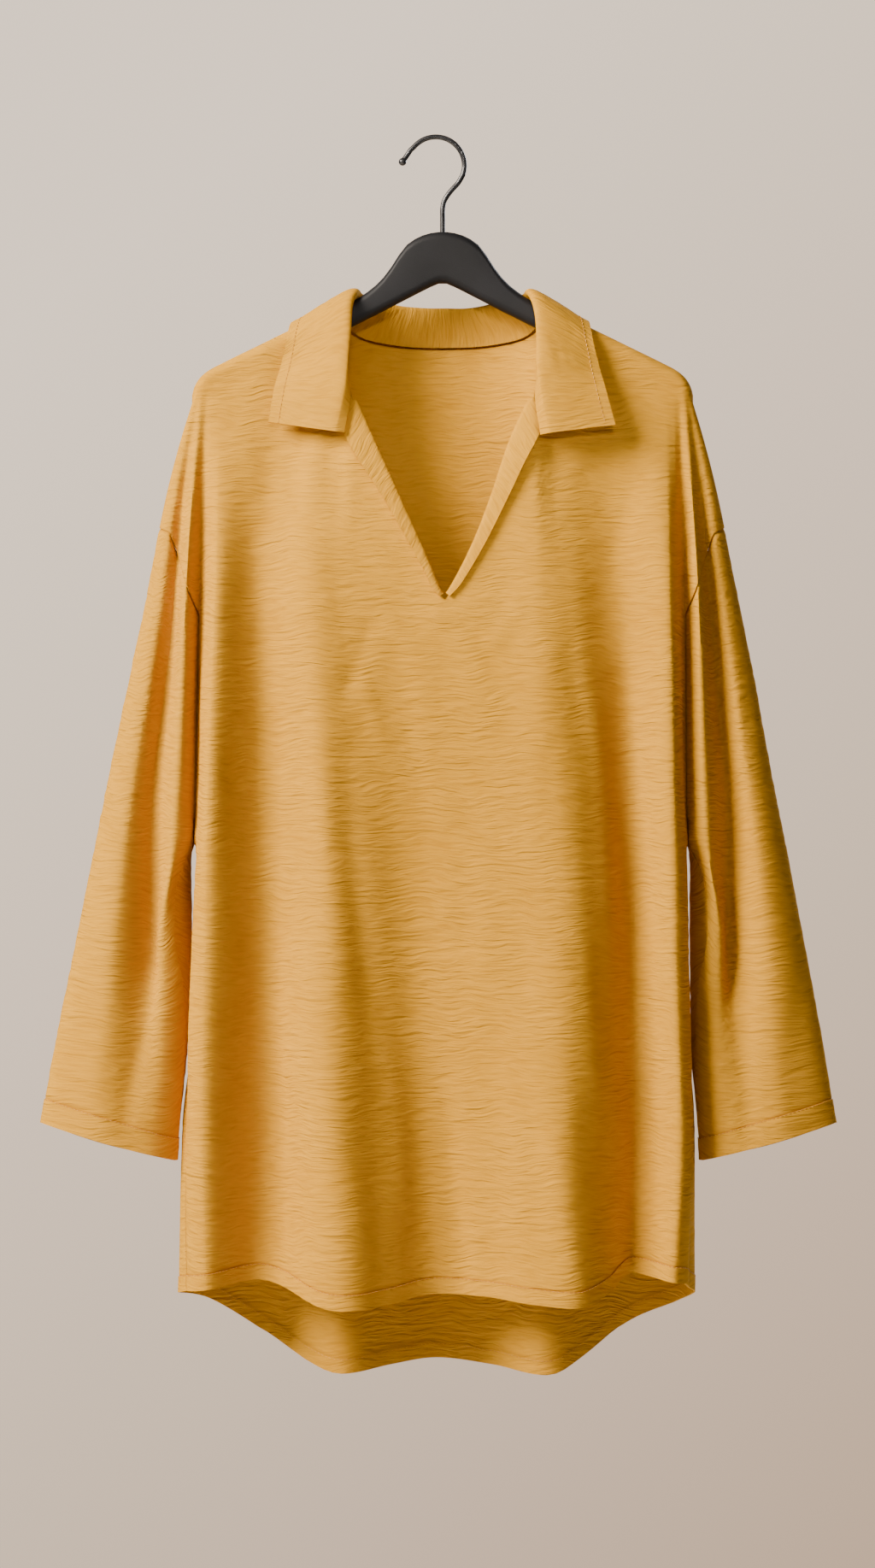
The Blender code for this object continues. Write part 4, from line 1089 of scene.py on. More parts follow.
@dataclass(frozen=True)
class BlackenedWire:
    """Steel wire with a satin black stoved coat, which glints more sharply than the hanger."""

    name: str = "black_coated_steel_wire"
    dark: str = "#1E1E20"
    light: str = "#2A2A2D"
    mottle_per_metre: float = 260.0
    coat: float = 0.3

    def build(self) -> bpy.types.Material:
        """Return the material."""
        material, tree, shader = new_material(self.name)
        place = add_node(tree, "ShaderNodeTexCoord")
        noise = add_node(tree, "ShaderNodeTexNoise", inputs={
            "Vector": place.outputs["Object"], "Scale": self.mottle_per_metre, "Detail": 2.0}).outputs["Fac"]
        blacks = ((0.3, self.dark), (0.8, self.light))
        colour = add_node(tree, "ShaderNodeValToRGB", {"stops": blacks}, {"Fac": noise})
        rough = add_node(tree, "ShaderNodeMapRange", inputs={"Value": noise, "To Min": 0.28, "To Max": 0.42})
        fill_inputs(tree, shader, {"Base Color": colour.outputs["Color"],
                                   "Roughness": rough.outputs["Result"], "Coat Weight": self.coat})
        return material


def deselect_all() -> None:
    """Leave nothing selected."""
    for item in bpy.context.view_layer.objects:
        item.select_set(False)


def select_only(piece: bpy.types.Object) -> None:
    """Select one piece alone and make it the active one.

    Args:
        piece: The piece.
    """
    deselect_all()
    bpy.context.view_layer.objects.active = piece
    piece.select_set(True)


def apply_modifiers(piece: bpy.types.Object) -> None:
    """Apply every modifier of a piece, as by hand.

    Args:
        piece: The piece.
    """
    select_only(piece)
    for modifier in list(piece.modifiers):
        bpy.ops.object.modifier_apply(modifier=modifier.name)
    piece.select_set(False)


def shade_smooth(piece: bpy.types.Object, degrees: float) -> None:
    """Shade a piece smooth up to an angle.

    Args:
        piece: The piece.
        degrees: The angle past which an edge stays sharp.
    """
    select_only(piece)
    bpy.ops.object.shade_smooth_by_angle(angle=math.radians(degrees))
    piece.select_set(False)


def to_world(points: np.ndarray) -> np.ndarray:
    """Turn garment millimetres into the frame's metres."""
    return (points + np.array([CENTRE_X, 0.0, 0.0])) * MM


def new_piece(name: str, points: np.ndarray, faces: Sequence[Sequence[int]],
              flat: np.ndarray | None = None) -> bpy.types.Object:
    """Make a mesh object in garment millimetres.

    Args:
        name: The piece's name.
        points: Its points, in millimetres.
        faces: Its faces.
        flat: The points' (u, v) in the flat cloth, in millimetres, or nothing.

    Returns:
        The object, linked into the scene.
    """
    mesh = bpy.data.meshes.new(name)
    mesh.from_pydata(to_world(points).tolist(), [], [tuple(f) for f in faces])
    if flat is not None:
        layer = mesh.uv_layers.new(name="cloth_mm")
        corners = np.empty(len(mesh.loops), np.int32)
        mesh.loops.foreach_get("vertex_index", corners)
        layer.data.foreach_set("uv", (flat[corners] * MM).astype(np.float32).ravel())
    piece = bpy.data.objects.new(name, mesh)
    bpy.context.scene.collection.objects.link(piece)
    return piece


def finish_piece(piece: bpy.types.Object, nodes: Sequence[str],
                 material: bpy.types.Material) -> None:
    """Dress a piece and report it.

    Args:
        piece: The piece.
        nodes: The CAD nodes that it stands for.
        material: Its material.
    """
    piece.data.materials.clear()
    piece.data.materials.append(material)
    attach(piece, "root")
    if nodes:
        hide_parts(*nodes)
    log.info("%s: %d faces", piece.name, len(piece.data.polygons))


@dataclass
class ClothPiece:
    """A cut piece of cloth: a grid raised by creases and crinkle, with a wall and a hem.

    Args:
        name: The piece's name.
        node: The CAD node that it stands for.
        seed: Picks the crinkle's pattern.
        creases: Its soft creases.
        band_rows: Rows of the turned-up hem.
        crinkle_rise: Height of the crinkles.
        seam_dip: How far the cloth sinks along its sewn edges.
        seam_dip_reach: How far in from an edge it does.
        edge_calm: How far in from an edge the relief grows to its full height.
        band_rise: How far the hem stands out.
        hem_groove: How far the row of stitches sinks in above the hem.
        seam_shade: How much painted shade darkens the cloth's sewn edges, from 0 to 1.
        seam_shade_reach: How far in from an edge it is dark.
        hem_shade: How much painted shade darkens the groove above the hem, from 0 to 1.
        wall: Thickness of the cloth.
        hem_wall: Thickness of the hem.
        sharp_angle: The angle past which an edge stays sharp, in degrees.
        surface: The built middle surface, in garment millimetres.
        grid_used: The grid it was built on.
    """

    name: str = "cloth"
    node: str = ""
    seed: int = 1
    creases: Sequence[Crease] = ()
    band_rows: int = 1
    crinkle_rise: float = 0.4
    seam_dip: float = 0.2
    seam_dip_reach: float = 4.5
    edge_calm: float = 9.0
    band_rise: float = 0.12
    hem_groove: float = 0.35
    seam_shade: float = 0.4
    seam_shade_reach: float = 1.8
    hem_shade: float = 0.32
    wall: float = CLOTH
    hem_wall: float = HEM_CLOTH
    sharp_angle: float = 55
    surface: np.ndarray | None = None
    grid_used: Grid | None = None

    def grid(self) -> Grid:
        """Return the piece's grid."""
        raise NotImplementedError

    def relief(self, flat: np.ndarray) -> np.ndarray:
        """Work out how far the cloth is raised.

        Args:
            flat: Places in the flat cloth, in millimetres.

        Returns:
            The heights there, in millimetres.
        """
        u, v = flat[:, 0], flat[:, 1]
        rise = np.zeros(len(u))
        for crease in self.creases:
            turn = math.radians(crease.turn)
            du, dv = u - crease.u, v - crease.v
            along = du * math.sin(turn) - dv * math.cos(turn)
            off = du * math.cos(turn) + dv * math.sin(turn)
            off = off + CREASE_SWAY * np.sin(along / crease.length * CREASE_SWING + crease.u)
            fade = smoothstep(CREASE_BODY - CREASE_TAPER * np.abs(along) / crease.length)
            rise += crease.rise * np.exp(-(off / crease.width) ** 2) * fade
        bend = CRINKLE_BEND.height(u, v, self.seed)
        crinkles = CRINKLES.height(u, v + bend, self.seed + 1)
        strength = CRINKLE_MEAN + CRINKLE_PATCHES.height(u, v, self.seed + 2)
        swells = SOFT_SWELLS.height(u, v, self.seed + 3)
        return rise + self.crinkle_rise * crinkles * strength + swells

    def build(self) -> bpy.types.Object:
        """Return the finished cloth shell, without a material."""
        grid = self.grid()
        points, flat = np.concatenate(grid.columns), np.concatenate(grid.flat)
        faces = np.array(grid.faces())
        band, low = np.zeros(len(points), bool), np.zeros(len(points), bool)
        groove = np.zeros(len(points))
        low[grid.row(0)] = True
        for rows_up in range(grid.band_rows):
            band[grid.row(rows_up)] = True
        if self.hem_shade > 0:
            groove[grid.row(grid.band_rows)] = 1.0
        normals, border = self.normals_and_border(points, faces)
        tree = KDTree(len(border))
        for number, i in enumerate(i for i in border if not low[i]):
            tree.insert(points[i], number)
        tree.balance()
        near = np.array([tree.find(p)[2] for p in points])
        rise = self.relief(flat) * smoothstep(near / self.edge_calm) * self.calm(points)
        dip = self.seam_dip * (1 - smoothstep(near / self.seam_dip_reach))
        rise += np.where(band, self.band_rise, 0.0) - dip
        rise -= self.hem_groove * groove
        points = points + normals * rise[:, None]
        for i, inward in border.items():
            if not low[i]:
                points[i] += inward * SEAM_HALF_GAP
        self.surface, self.grid_used = points, grid
        piece = new_piece(self.name, points, faces.tolist(), flat)
        # Painted shade along the sewn edges and in the groove above the hem, kept as the seam attribute.
        edge_shade = self.seam_shade * (1 - smoothstep(near / self.seam_shade_reach))
        line = piece.data.attributes.new("seam", "FLOAT", "POINT")
        line.data.foreach_set("value", np.maximum(edge_shade, self.hem_shade * groove).astype(np.float32))
        group = piece.vertex_groups.new(name="wall")
        for rows, thickness in ((~band, self.wall / self.hem_wall), (band, 1.0)):
            group.add(np.nonzero(rows)[0].tolist(), thickness, "REPLACE")
        self.join_doubles(piece)
        solid = piece.modifiers.new("wall", "SOLIDIFY")
        solid.thickness = self.hem_wall * MM
        solid.offset = 0.0
        solid.vertex_group = "wall"
        solid.use_even_offset = False
        apply_modifiers(piece)
        shade_smooth(piece, self.sharp_angle)
        return piece

    def dress(self, piece: bpy.types.Object, material: bpy.types.Material) -> None:
        """Give the built shell its cloth, its body and its node's place."""
        finish_piece(piece, [self.node], material)

    def normals_and_border(self, points: np.ndarray,
                           faces: np.ndarray) -> tuple[np.ndarray, dict[int, np.ndarray]]:
        """Work out the cloth's normals and its free edges, with points in one place joined.

        Args:
            points: The cloth's points, in millimetres.
            faces: Quads over them.

        Returns:
            Unit normals, and for each point on an edge the direction into the piece.
        """
        _, where = np.unique(np.round(points, 3), axis=0, return_inverse=True)
        where = where.reshape(-1)
        a, b, c, d = (points[faces[:, i]] for i in range(4))
        out = np.cross(c - a, d - b)
        total = np.zeros((where.max() + 1, 3))
        for corner in range(4):
            np.add.at(total, where[faces[:, corner]], out)
        total /= np.maximum(np.linalg.norm(total, axis=1, keepdims=True), 1e-12)
        edges = np.concatenate([faces[:, [i, (i + 1) % 4]] for i in range(4)])
        owner = np.tile(np.arange(len(faces)), 4)
        joined = np.sort(where[edges], axis=1)
        kept = joined[:, 0] != joined[:, 1]
        edges, owner, joined = edges[kept], owner[kept], joined[kept]
        _, place, uses = np.unique(joined, axis=0, return_inverse=True, return_counts=True)
        alone = uses[place.reshape(-1)] == 1
        inward = np.zeros_like(total)
        for (start, end), face in zip(edges[alone], owner[alone]):
            into = np.cross(out[face], points[end] - points[start])
            into /= max(np.linalg.norm(into), 1e-12)
            inward[where[start]] += into
            inward[where[end]] += into
        size = np.linalg.norm(inward, axis=1)
        border = {i: inward[where[i]] / size[where[i]] for i in range(len(points)) if size[where[i]] > 0.1}
        return total[where], border

    def calm(self, points: np.ndarray) -> np.ndarray:
        """Return 1, or less where the cloth lies on something firm."""
        return np.ones(len(points))

    def join_doubles(self, piece: bpy.types.Object) -> None:
        """Merge points that lie in one place.

        Args:
            piece: The piece.
        """
        work = bmesh.new()
        work.from_mesh(piece.data)
        bmesh.ops.remove_doubles(work, verts=work.verts, dist=DOUBLE_GAP * MM)
        work.to_mesh(piece.data)
        work.free()


@dataclass
class BodyPanel(ClothPiece):
    """Front or back panel, from the shoulder, neckline and slit down to the rounded hem.

    Args:
        face: Front or back.
        cells: Columns from each fold line to the next.
        outboard_cells: The same, over the hanger's end.
        turn_rows: Rows round the hanger's edge, or just under the neckline.
        upper_rows: Rows down to the armhole's notch.
        lower_rows: Rows from there to the hem.
        levels: Sections worked out below the notch.
        firm_depth: How far from the hanger's edge, in depth, the cloth is nearly free.
        firm_edge: The share of that where it starts to be.
        firm_share: The share of the relief that is left on that edge.
    """

    face: Face = Face.FRONT
    band_rows: int = 6
    cells: int = 8
    outboard_cells: int = 5
    turn_rows: int = 8
    upper_rows: int = 84
    lower_rows: int = 222
    levels: int = 400
    firm_depth: float = 11.0
    firm_edge: float = 0.2
    firm_share: float = 0.35

    def __post_init__(self) -> None:
        """Name the panel and take its fold lines and creases."""
        front = self.face is Face.FRONT
        self.folds = BODY_FOLDS[self.face]
        self.name = "front_cloth" if front else "back_cloth"
        self.node = "front_panel" if front else "back_panel"
        self.seed = 11 if front else 37
        self.creases = FRONT_CREASES if front else BACK_CREASES

    def calm(self, points: np.ndarray) -> np.ndarray:
        """Return less than 1 where the cloth lies over the hanger's top edge."""
        freed = smoothstep(np.abs(points[:, 1]) / self.firm_depth - self.firm_edge)
        return self.firm_share + (1 - self.firm_share) * freed

    def outboard(self, side: Side) -> list[np.ndarray]:
        """Columns over the hanger's end, down to the armhole.

        Args:
            side: Wearer's side.

        Returns:
            The columns, outermost first.
        """
        columns = []
        line = tuple(SLEEVE_FOLDS[self.face]) + (self.folds[0],)
        for place in places(SLEEVE_SPANS, self.outboard_cells)[:-1]:
            z = float(monotone(range(SLEEVE_SPANS + 1), ARMHOLE_HEIGHT, place))
            at, levels = np.array([place]), np.array([z, z - 1.0])
            here, below = FORM.sleeve_section(self.face, side, levels, at)[:, 0]
            low = np.array([*here, z])
            columns.append(FORM.upper_line(self.face, side, FORM.top_along(line, place), low,
                                           below - here, self.turn_rows, self.upper_rows))
        return columns

    def grid(self) -> Grid:
        """Return the panel's grid, columns from the wearer's right to the left."""
        at = places(len(self.folds) - 1, self.cells)
        middle = [f.name for f in self.folds].index("centre")
        levels = np.linspace(NOTCH_Z, LOWEST_Z, self.levels)
        sections = FORM.body_section(self.face, levels, at)
        near = FORM.body_section(self.face, np.array([NOTCH_Z, NOTCH_Z - 1.0]), at)
        hems = monotone(range(len(self.folds)), [f.hem_z for f in self.folds], at)
        main = []
        for c, place in enumerate(at):
            side = Side.RIGHT if place <= middle else Side.LEFT
            line = FORM.upper_line(self.face, side, FORM.top_along(self.folds, place),
                                   np.array([*near[0, c], NOTCH_Z]), near[1, c] - near[0, c],
                                   self.turn_rows, self.upper_rows)
            turn_up = hems[c] + HEM_DEPTH
            z = np.concatenate([np.linspace(NOTCH_Z, turn_up + HEM_STEP, self.lower_rows + 1)[1:],
                                np.linspace(turn_up, hems[c], self.band_rows)])
            x, y = (np.interp(-z, -levels, sections[:, c, i]) for i in (0, 1))
            main.append(np.concatenate([line, np.stack([x, y, z], axis=-1)]))
        right, left = self.outboard(Side.RIGHT), self.outboard(Side.LEFT)
        columns = right + main + left[::-1]
        flat = self.flatten(columns, len(right) + middle * self.cells)
        if self.face is Face.BACK:
            columns, flat = columns[::-1], flat[::-1]
        return Grid(columns, flat, self.band_rows, len(main[0]))

    def flatten(self, columns: list[np.ndarray], middle: int) -> list[np.ndarray]:
        """Lay the columns out flat.

        Args:
            columns: The panel's columns.
            middle: The column that u is measured from.

        Returns:
            For each column u, the distance round the body, and v, the height.
        """
        flat = [np.stack([np.zeros(len(c)), c[:, 2]], axis=-1) for c in columns]
        for r in range(max(len(c) for c in columns)):
            own = [i for i, c in enumerate(columns) if r < len(c)]
            run = run_lengths(np.array([columns[i][r, :2] for i in own]))
            for i, u in zip(own, run - run[own.index(middle)]):
                flat[i][r, 0] = u
        return flat


@dataclass
class Sleeve(ClothPiece):
    """Wide sleeve: a tube from the armhole to a deep cuff hem.

    Args:
        side: Wearer's side.
        rows: Rows down to the cuff's hem.
        cells: Columns from each fold line to the next.
        measured_row: The row that the tube is measured round.
        back_dip: How far the cuff hangs lower at the back.
        crease_offset: How far the creases are moved, down on the left sleeve and up on the right.
    """

    side: Side = Side.RIGHT
    seam_dip: float = 1.5
    band_rows: int = 8
    rows: int = 168
    cells: int = 8
    measured_row: int = 90
    back_dip: float = 6.0
    crease_offset: float = 12.0

    def __post_init__(self) -> None:
        """Name the sleeve and mirror its creases."""
        sign = self.side.value
        self.name = f"{self.side.word}_sleeve_cloth"
        self.node = f"{self.side.word}_sleeve"
        self.seed = 53 if self.side is Side.RIGHT else 71
        self.creases = tuple(
            c._replace(u=c.u * sign, turn=c.turn * sign, v=c.v - self.crease_offset * sign)
            for c in SLEEVE_CREASES)

    def cuff_height(self, face: Face, x: float) -> float:
        """Find the height of the cuff's edge.

        Args:
            face: Front or back.
            x: The distance outwards from the centre plane.

        Returns:
            The height there.
        """
        share = min(max((CUFF_OUTER_X - abs(x)) / (CUFF_OUTER_X - CUFF_INNER_X), 0.0), 1.0)
        dip = self.back_dip * math.sin(math.pi * share) if face is Face.BACK else 0.0
        return CUFF_OUTER_Z + (CUFF_INNER_Z - CUFF_OUTER_Z) * share - dip

    def column(self, face: Face, place: float) -> np.ndarray:
        """Make one column from the armhole to the cuff.

        Args:
            face: Front or back.
            place: The place round the half, from 0, the outer fold, to 4, the seam.

        Returns:
            The column's points.
        """
        at = np.array([place])
        top = float(monotone(range(SLEEVE_SPANS + 1), ARMHOLE_HEIGHT, place))
        edge = FORM.sleeve_section(face, self.side, np.array([CUFF_OUTER_Z]), at)[0, 0, 0]
        x = abs(edge) + (float(left_shift(CUFF_OUTER_Z)) if self.side is Side.LEFT else 0.0)
        scale = (self.cuff_height(face, x) - top) / (CUFF_INNER_Z - NOTCH_Z)
        turn_up = CUFF_INNER_Z + CUFF_DEPTH
        z = np.concatenate([np.linspace(NOTCH_Z, turn_up + HEM_STEP, self.rows + 1),
                            np.linspace(turn_up, CUFF_INNER_Z, self.band_rows)])
        z = top + (z - NOTCH_Z) * scale
        xy = FORM.sleeve_section(face, self.side, z, at)[:, 0]
        return np.concatenate([xy, z[:, None]], axis=1)

    def grid(self) -> Grid:
        """Return the tube's grid, from the seam over the back and the front to the seam."""
        at = places(SLEEVE_SPANS, self.cells)
        back, front = ([self.column(face, p) for p in at] for face in (Face.BACK, Face.FRONT))
        columns = back[::-1] + front[1:]
        round_tube = run_lengths(np.array([c[self.measured_row] for c in columns]))
        round_tube = (round_tube - round_tube[len(back) - 1]) * -self.side.value
        flat = [np.stack([np.full(len(c), u), c[0, 2] - run_lengths(c)], axis=-1)
                for c, u in zip(columns, round_tube)]
        if self.side is Side.LEFT:
            columns, flat = columns[::-1], flat[::-1]
        return Grid(columns, flat, self.band_rows, len(columns[0]))


@dataclass
class Collar(ClothPiece):
    """Turn-down collar: up from the neck seam, over the roll and down to the outer edge.

    Args:
        cells: Columns from each section to the next.
        stand_rows: Rows up to the roll.
        leaf_rows: Rows from the roll to the outer edge.
        crowding: How much the rows crowd towards the roll.
        measured_row: The row that the collar's length is measured on.
    """

    name: str = "collar_cloth"
    node: str = "collar"
    seed: int = 97
    band_rows: int = 2
    wall: float = COLLAR_CLOTH
    hem_wall: float = COLLAR_CLOTH + 0.3
    crinkle_rise: float = 0.3
    seam_dip: float = 0.0
    seam_shade: float = 0.0
    hem_shade: float = 0.0
    cells: int = 9
    stand_rows: int = 14
    leaf_rows: int = 30
    crowding: float = 1.4
    measured_row: int = -12

    def grid(self) -> Grid:
        """Return the collar's grid, from the wearer's right end round the back."""
        at = places(len(COLLAR) - 1, self.cells)
        seam, roll, edge = (
            spline(with_ends(np.array([getattr(s, field) for s in COLLAR], float))[None], at)[0]
            for field in ("seam", "roll", "edge"))
        columns = [self.column(*ends) for ends in zip(seam, roll, edge)]
        along = run_lengths(np.array([c[self.measured_row] for c in columns]))
        flat = [np.stack([np.full(len(c), place - along[-1] / 2), -run_lengths(c)], axis=-1)
                for c, place in zip(columns, along)]
        return Grid(columns, flat, self.band_rows, len(columns[0]))

    def column(self, seam: np.ndarray, roll: np.ndarray, edge: np.ndarray) -> np.ndarray:
        """Make one section of the collar.

        Args:
            seam: Its point on the neck seam.
            roll: Its highest point.
            edge: Its point on the outer edge.

        Returns:
            The section's points.
        """
        stand, leaf = seam - roll, edge - roll
        bisector = stand / np.linalg.norm(stand) + leaf / np.linalg.norm(leaf)
        over = leaf / np.linalg.norm(leaf) - stand / np.linalg.norm(stand)
        bend = over - bisector * over.dot(bisector) / max(bisector.dot(bisector), 1e-9)
        bend /= max(np.linalg.norm(bend), 1e-9)
        first = bend * STAND_FULLNESS * np.linalg.norm(stand)
        second = bend * LEAF_FULLNESS * np.linalg.norm(leaf)
        rows_up = (1 - (1 - np.linspace(0, 1, self.stand_rows + 1)) ** self.crowding)[:, None]
        start, leaving, end, arriving = hermite_weights(rows_up)
        up = start * seam - leaving * stand + end * roll - arriving * first
        rows_down = (np.linspace(0, 1, self.leaf_rows + 1)[1:] ** self.crowding)[:, None]
        start, leaving, end, arriving = hermite_weights(rows_down)
        down = start * roll + leaving * second + end * edge - arriving * leaf
        return np.concatenate([up, down])


@dataclass
class SlitFacing(ClothPiece):
    """Facing folded over the slit's edge: inner leg, roll, and a narrow lapel outside.

    Args:
        side: Wearer's side.
        panel: The front panel's surface in garment millimetres.
        rows: Sections down the slit.
        last_share: The share of the slit's length where the facing ends.
        narrow_from: The share where the lapel starts to narrow to its end.
        narrow_over: Over what share it does.
        narrowing: By how much of its width.
        slope_step: The share of the slit on either side that its direction is read over.
        inner_extra: How much wider the inner leg is than the lapel, where that is narrow.
        leg_shares: Places across the inner leg, from its edge to the slit.
        roll_turns: Where the roll starts and ends, in degrees round its middle.
        roll_points: Points round the roll.
        roll_inset: How far from the slit's edge the roll's middle lies.
        roll_bulge: How much the roll bulges past its own radius.
        lapel_shares: Places across the lapel, from the roll to its edge.
        flat_length: The facing's length in the flat cloth.
    """

    side: Side = Side.RIGHT
    panel: BVHTree | None = None
    wall: float = FACING_CLOTH
    hem_wall: float = FACING_CLOTH
    crinkle_rise: float = 0.22
    seam_dip: float = 0.0
    seam_shade: float = 0.0
    hem_shade: float = 0.0
    rows: int = 84
    last_share: float = 0.975
    narrow_from: float = 0.9
    narrow_over: float = 0.085
    narrowing: float = 0.55
    slope_step: float = 0.01
    inner_extra: float = 3.0
    leg_shares: tuple[float, ...] = (1.0, 0.7, 0.4)
    roll_turns: tuple[float, float] = (20, 160)
    roll_points: int = 8
    roll_inset: float = 0.4
    roll_bulge: float = 0.6
    lapel_shares: tuple[float, ...] = (0.12, 0.3, 0.5, 0.7, 0.86, 1.0)
    flat_length: float = 190.0

    def __post_init__(self) -> None:
        """Name the facing and take its sections and its side of the slit."""
        self.name = f"{self.side.word}_lapel_cloth"
        self.node = f"{self.side.word}_slit_facing"
        self.seed = 131 if self.side is Side.RIGHT else 151

    def on_panel(self, place: np.ndarray, proud: float) -> np.ndarray:
        """Return the place over the panel, standing this far off it."""
        hit = self.panel.ray_cast(Vector((place[0], IN_FRONT, place[2])), Vector((0.0, 1.0, 0.0)))[0]
        return np.array([place[0], (hit.y if hit else place[1]) - proud, place[2]])

    def section(self, share: float) -> np.ndarray:
        """Make one section across the facing.

        Args:
            share: Where it is, as a share of the slit's length.

        Returns:
            Its points, from the inner leg over the roll to the lapel's edge.
        """
        line, sections = SLITS[self.side], LAPELS[self.side]
        edge = along_line(line, share)
        ahead = along_line(line, share + self.slope_step) - along_line(line, share - self.slope_step)
        outward = np.array([ahead[2], 0.0, -ahead[0]])
        outward *= np.sign(outward[0] * self.side.value) / np.linalg.norm(outward)
        along = [s.along for s in sections]
        width = float(monotone(along, [s.width for s in sections], share))
        width *= 1 - self.narrowing * float(smoothstep((share - self.narrow_from) / self.narrow_over))
        lift = float(monotone(along, [s.lift for s in sections], share))
        inside = min(FACING_INSIDE, width + self.inner_extra)
        points = [self.on_panel(edge + outward * inside * s, -FACING_ROLL) for s in self.leg_shares]
        for turn in np.radians(np.linspace(*self.roll_turns, self.roll_points)):
            base = self.on_panel(edge + outward * self.roll_inset, FACING_ROLL * -math.cos(turn))
            points.append(base - outward * (FACING_ROLL + self.roll_bulge) * math.sin(turn))
        points += [self.on_panel(edge + outward * width * s, FACING_ROLL + (lift - FACING_ROLL) * s)
                   for s in self.lapel_shares]
        return np.array(points)

    def grid(self) -> Grid:
        """Return the facing's grid, from the gorge down."""
        columns = [self.section(s) for s in np.linspace(LAPEL_START, self.last_share, self.rows + 1)]
        flat = [np.stack([run_lengths(c), np.full(len(c), -self.flat_length * k / self.rows)], axis=-1)
                for k, c in enumerate(columns)]
        if self.side is Side.RIGHT:
            columns, flat = columns[::-1], flat[::-1]
        return Grid(columns, flat, self.band_rows, -1)


@dataclass
class StitchRun:
    """A line of sewing: short raised stitches set end to end on the cloth.

    Args:
        name: The piece's name.
        lines: Polylines with their normals, in garment millimetres.
        length: A stitch's length, in millimetres.
        space: The gap between stitches, in millimetres.
        radius: Half the thread's thickness, in millimetres.
        step: How far to either side a stitch's direction is read, in millimetres.
    """

    name: str
    lines: list[tuple[np.ndarray, np.ndarray]]
    length: float = 2.7
    space: float = 0.9
    radius: float = 0.27
    step: float = 0.5

    def build(self) -> bpy.types.Object:
        """Return the run as one piece."""
        points: list[np.ndarray] = []
        faces: list[tuple[int, ...]] = []
        for line, normals in self.lines:
            run = run_lengths(line)
            for k in range(int(run[-1] / (self.length + self.space))):
                self.stitch(points, faces, line, normals, run, k * (self.length + self.space))
        return new_piece(self.name, np.array(points), faces)

    def dress(self, piece: bpy.types.Object, material: bpy.types.Material) -> None:
        """Give the built run its thread and its body."""
        finish_piece(piece, [], material)

    def stitch(self, points: list[np.ndarray], faces: list[tuple[int, ...]], line: np.ndarray,
               normals: np.ndarray, run: np.ndarray, begin: float) -> None:
        """Add one stitch: a thin four-sided thread that dips into the cloth at both ends.

        Args:
            points: The run's points so far, added to.
            faces: The run's faces so far, added to.
            line: The polyline that it lies on.
            normals: The cloth's normals along that.
            run: How far along each of its points lies.
            begin: How far along the stitch begins.
        """
        def at(values: np.ndarray, place: float) -> np.ndarray:
            """Return the values at a distance along the line."""
            return np.array([np.interp(place, run, values[:, i]) for i in range(3)])

        start = len(points)
        for section in STITCH:
            place = begin + self.length * section.along
            here, up = at(line, place), at(normals, place)
            up = up / max(np.linalg.norm(up), 1e-9)
            ahead = at(line, place + self.step) - at(line, place - self.step)
            ahead = ahead / max(np.linalg.norm(ahead), 1e-9)
            across = np.cross(ahead, up)
            centre = here + up * self.radius * section.lift
            size = self.radius * section.thick
            points += [centre + across * size, centre + up * size, centre - across * size, centre - up * size]
        for ring in range(len(STITCH) - 1):
            a, b = start + 4 * ring, start + 4 * ring + 4
            faces += [(a + i, b + i, b + (i + 1) % 4, a + (i + 1) % 4) for i in range(4)]
        last = len(points) - 1
        faces += [tuple(start + i for i in range(4)), tuple(last - i for i in range(4))]


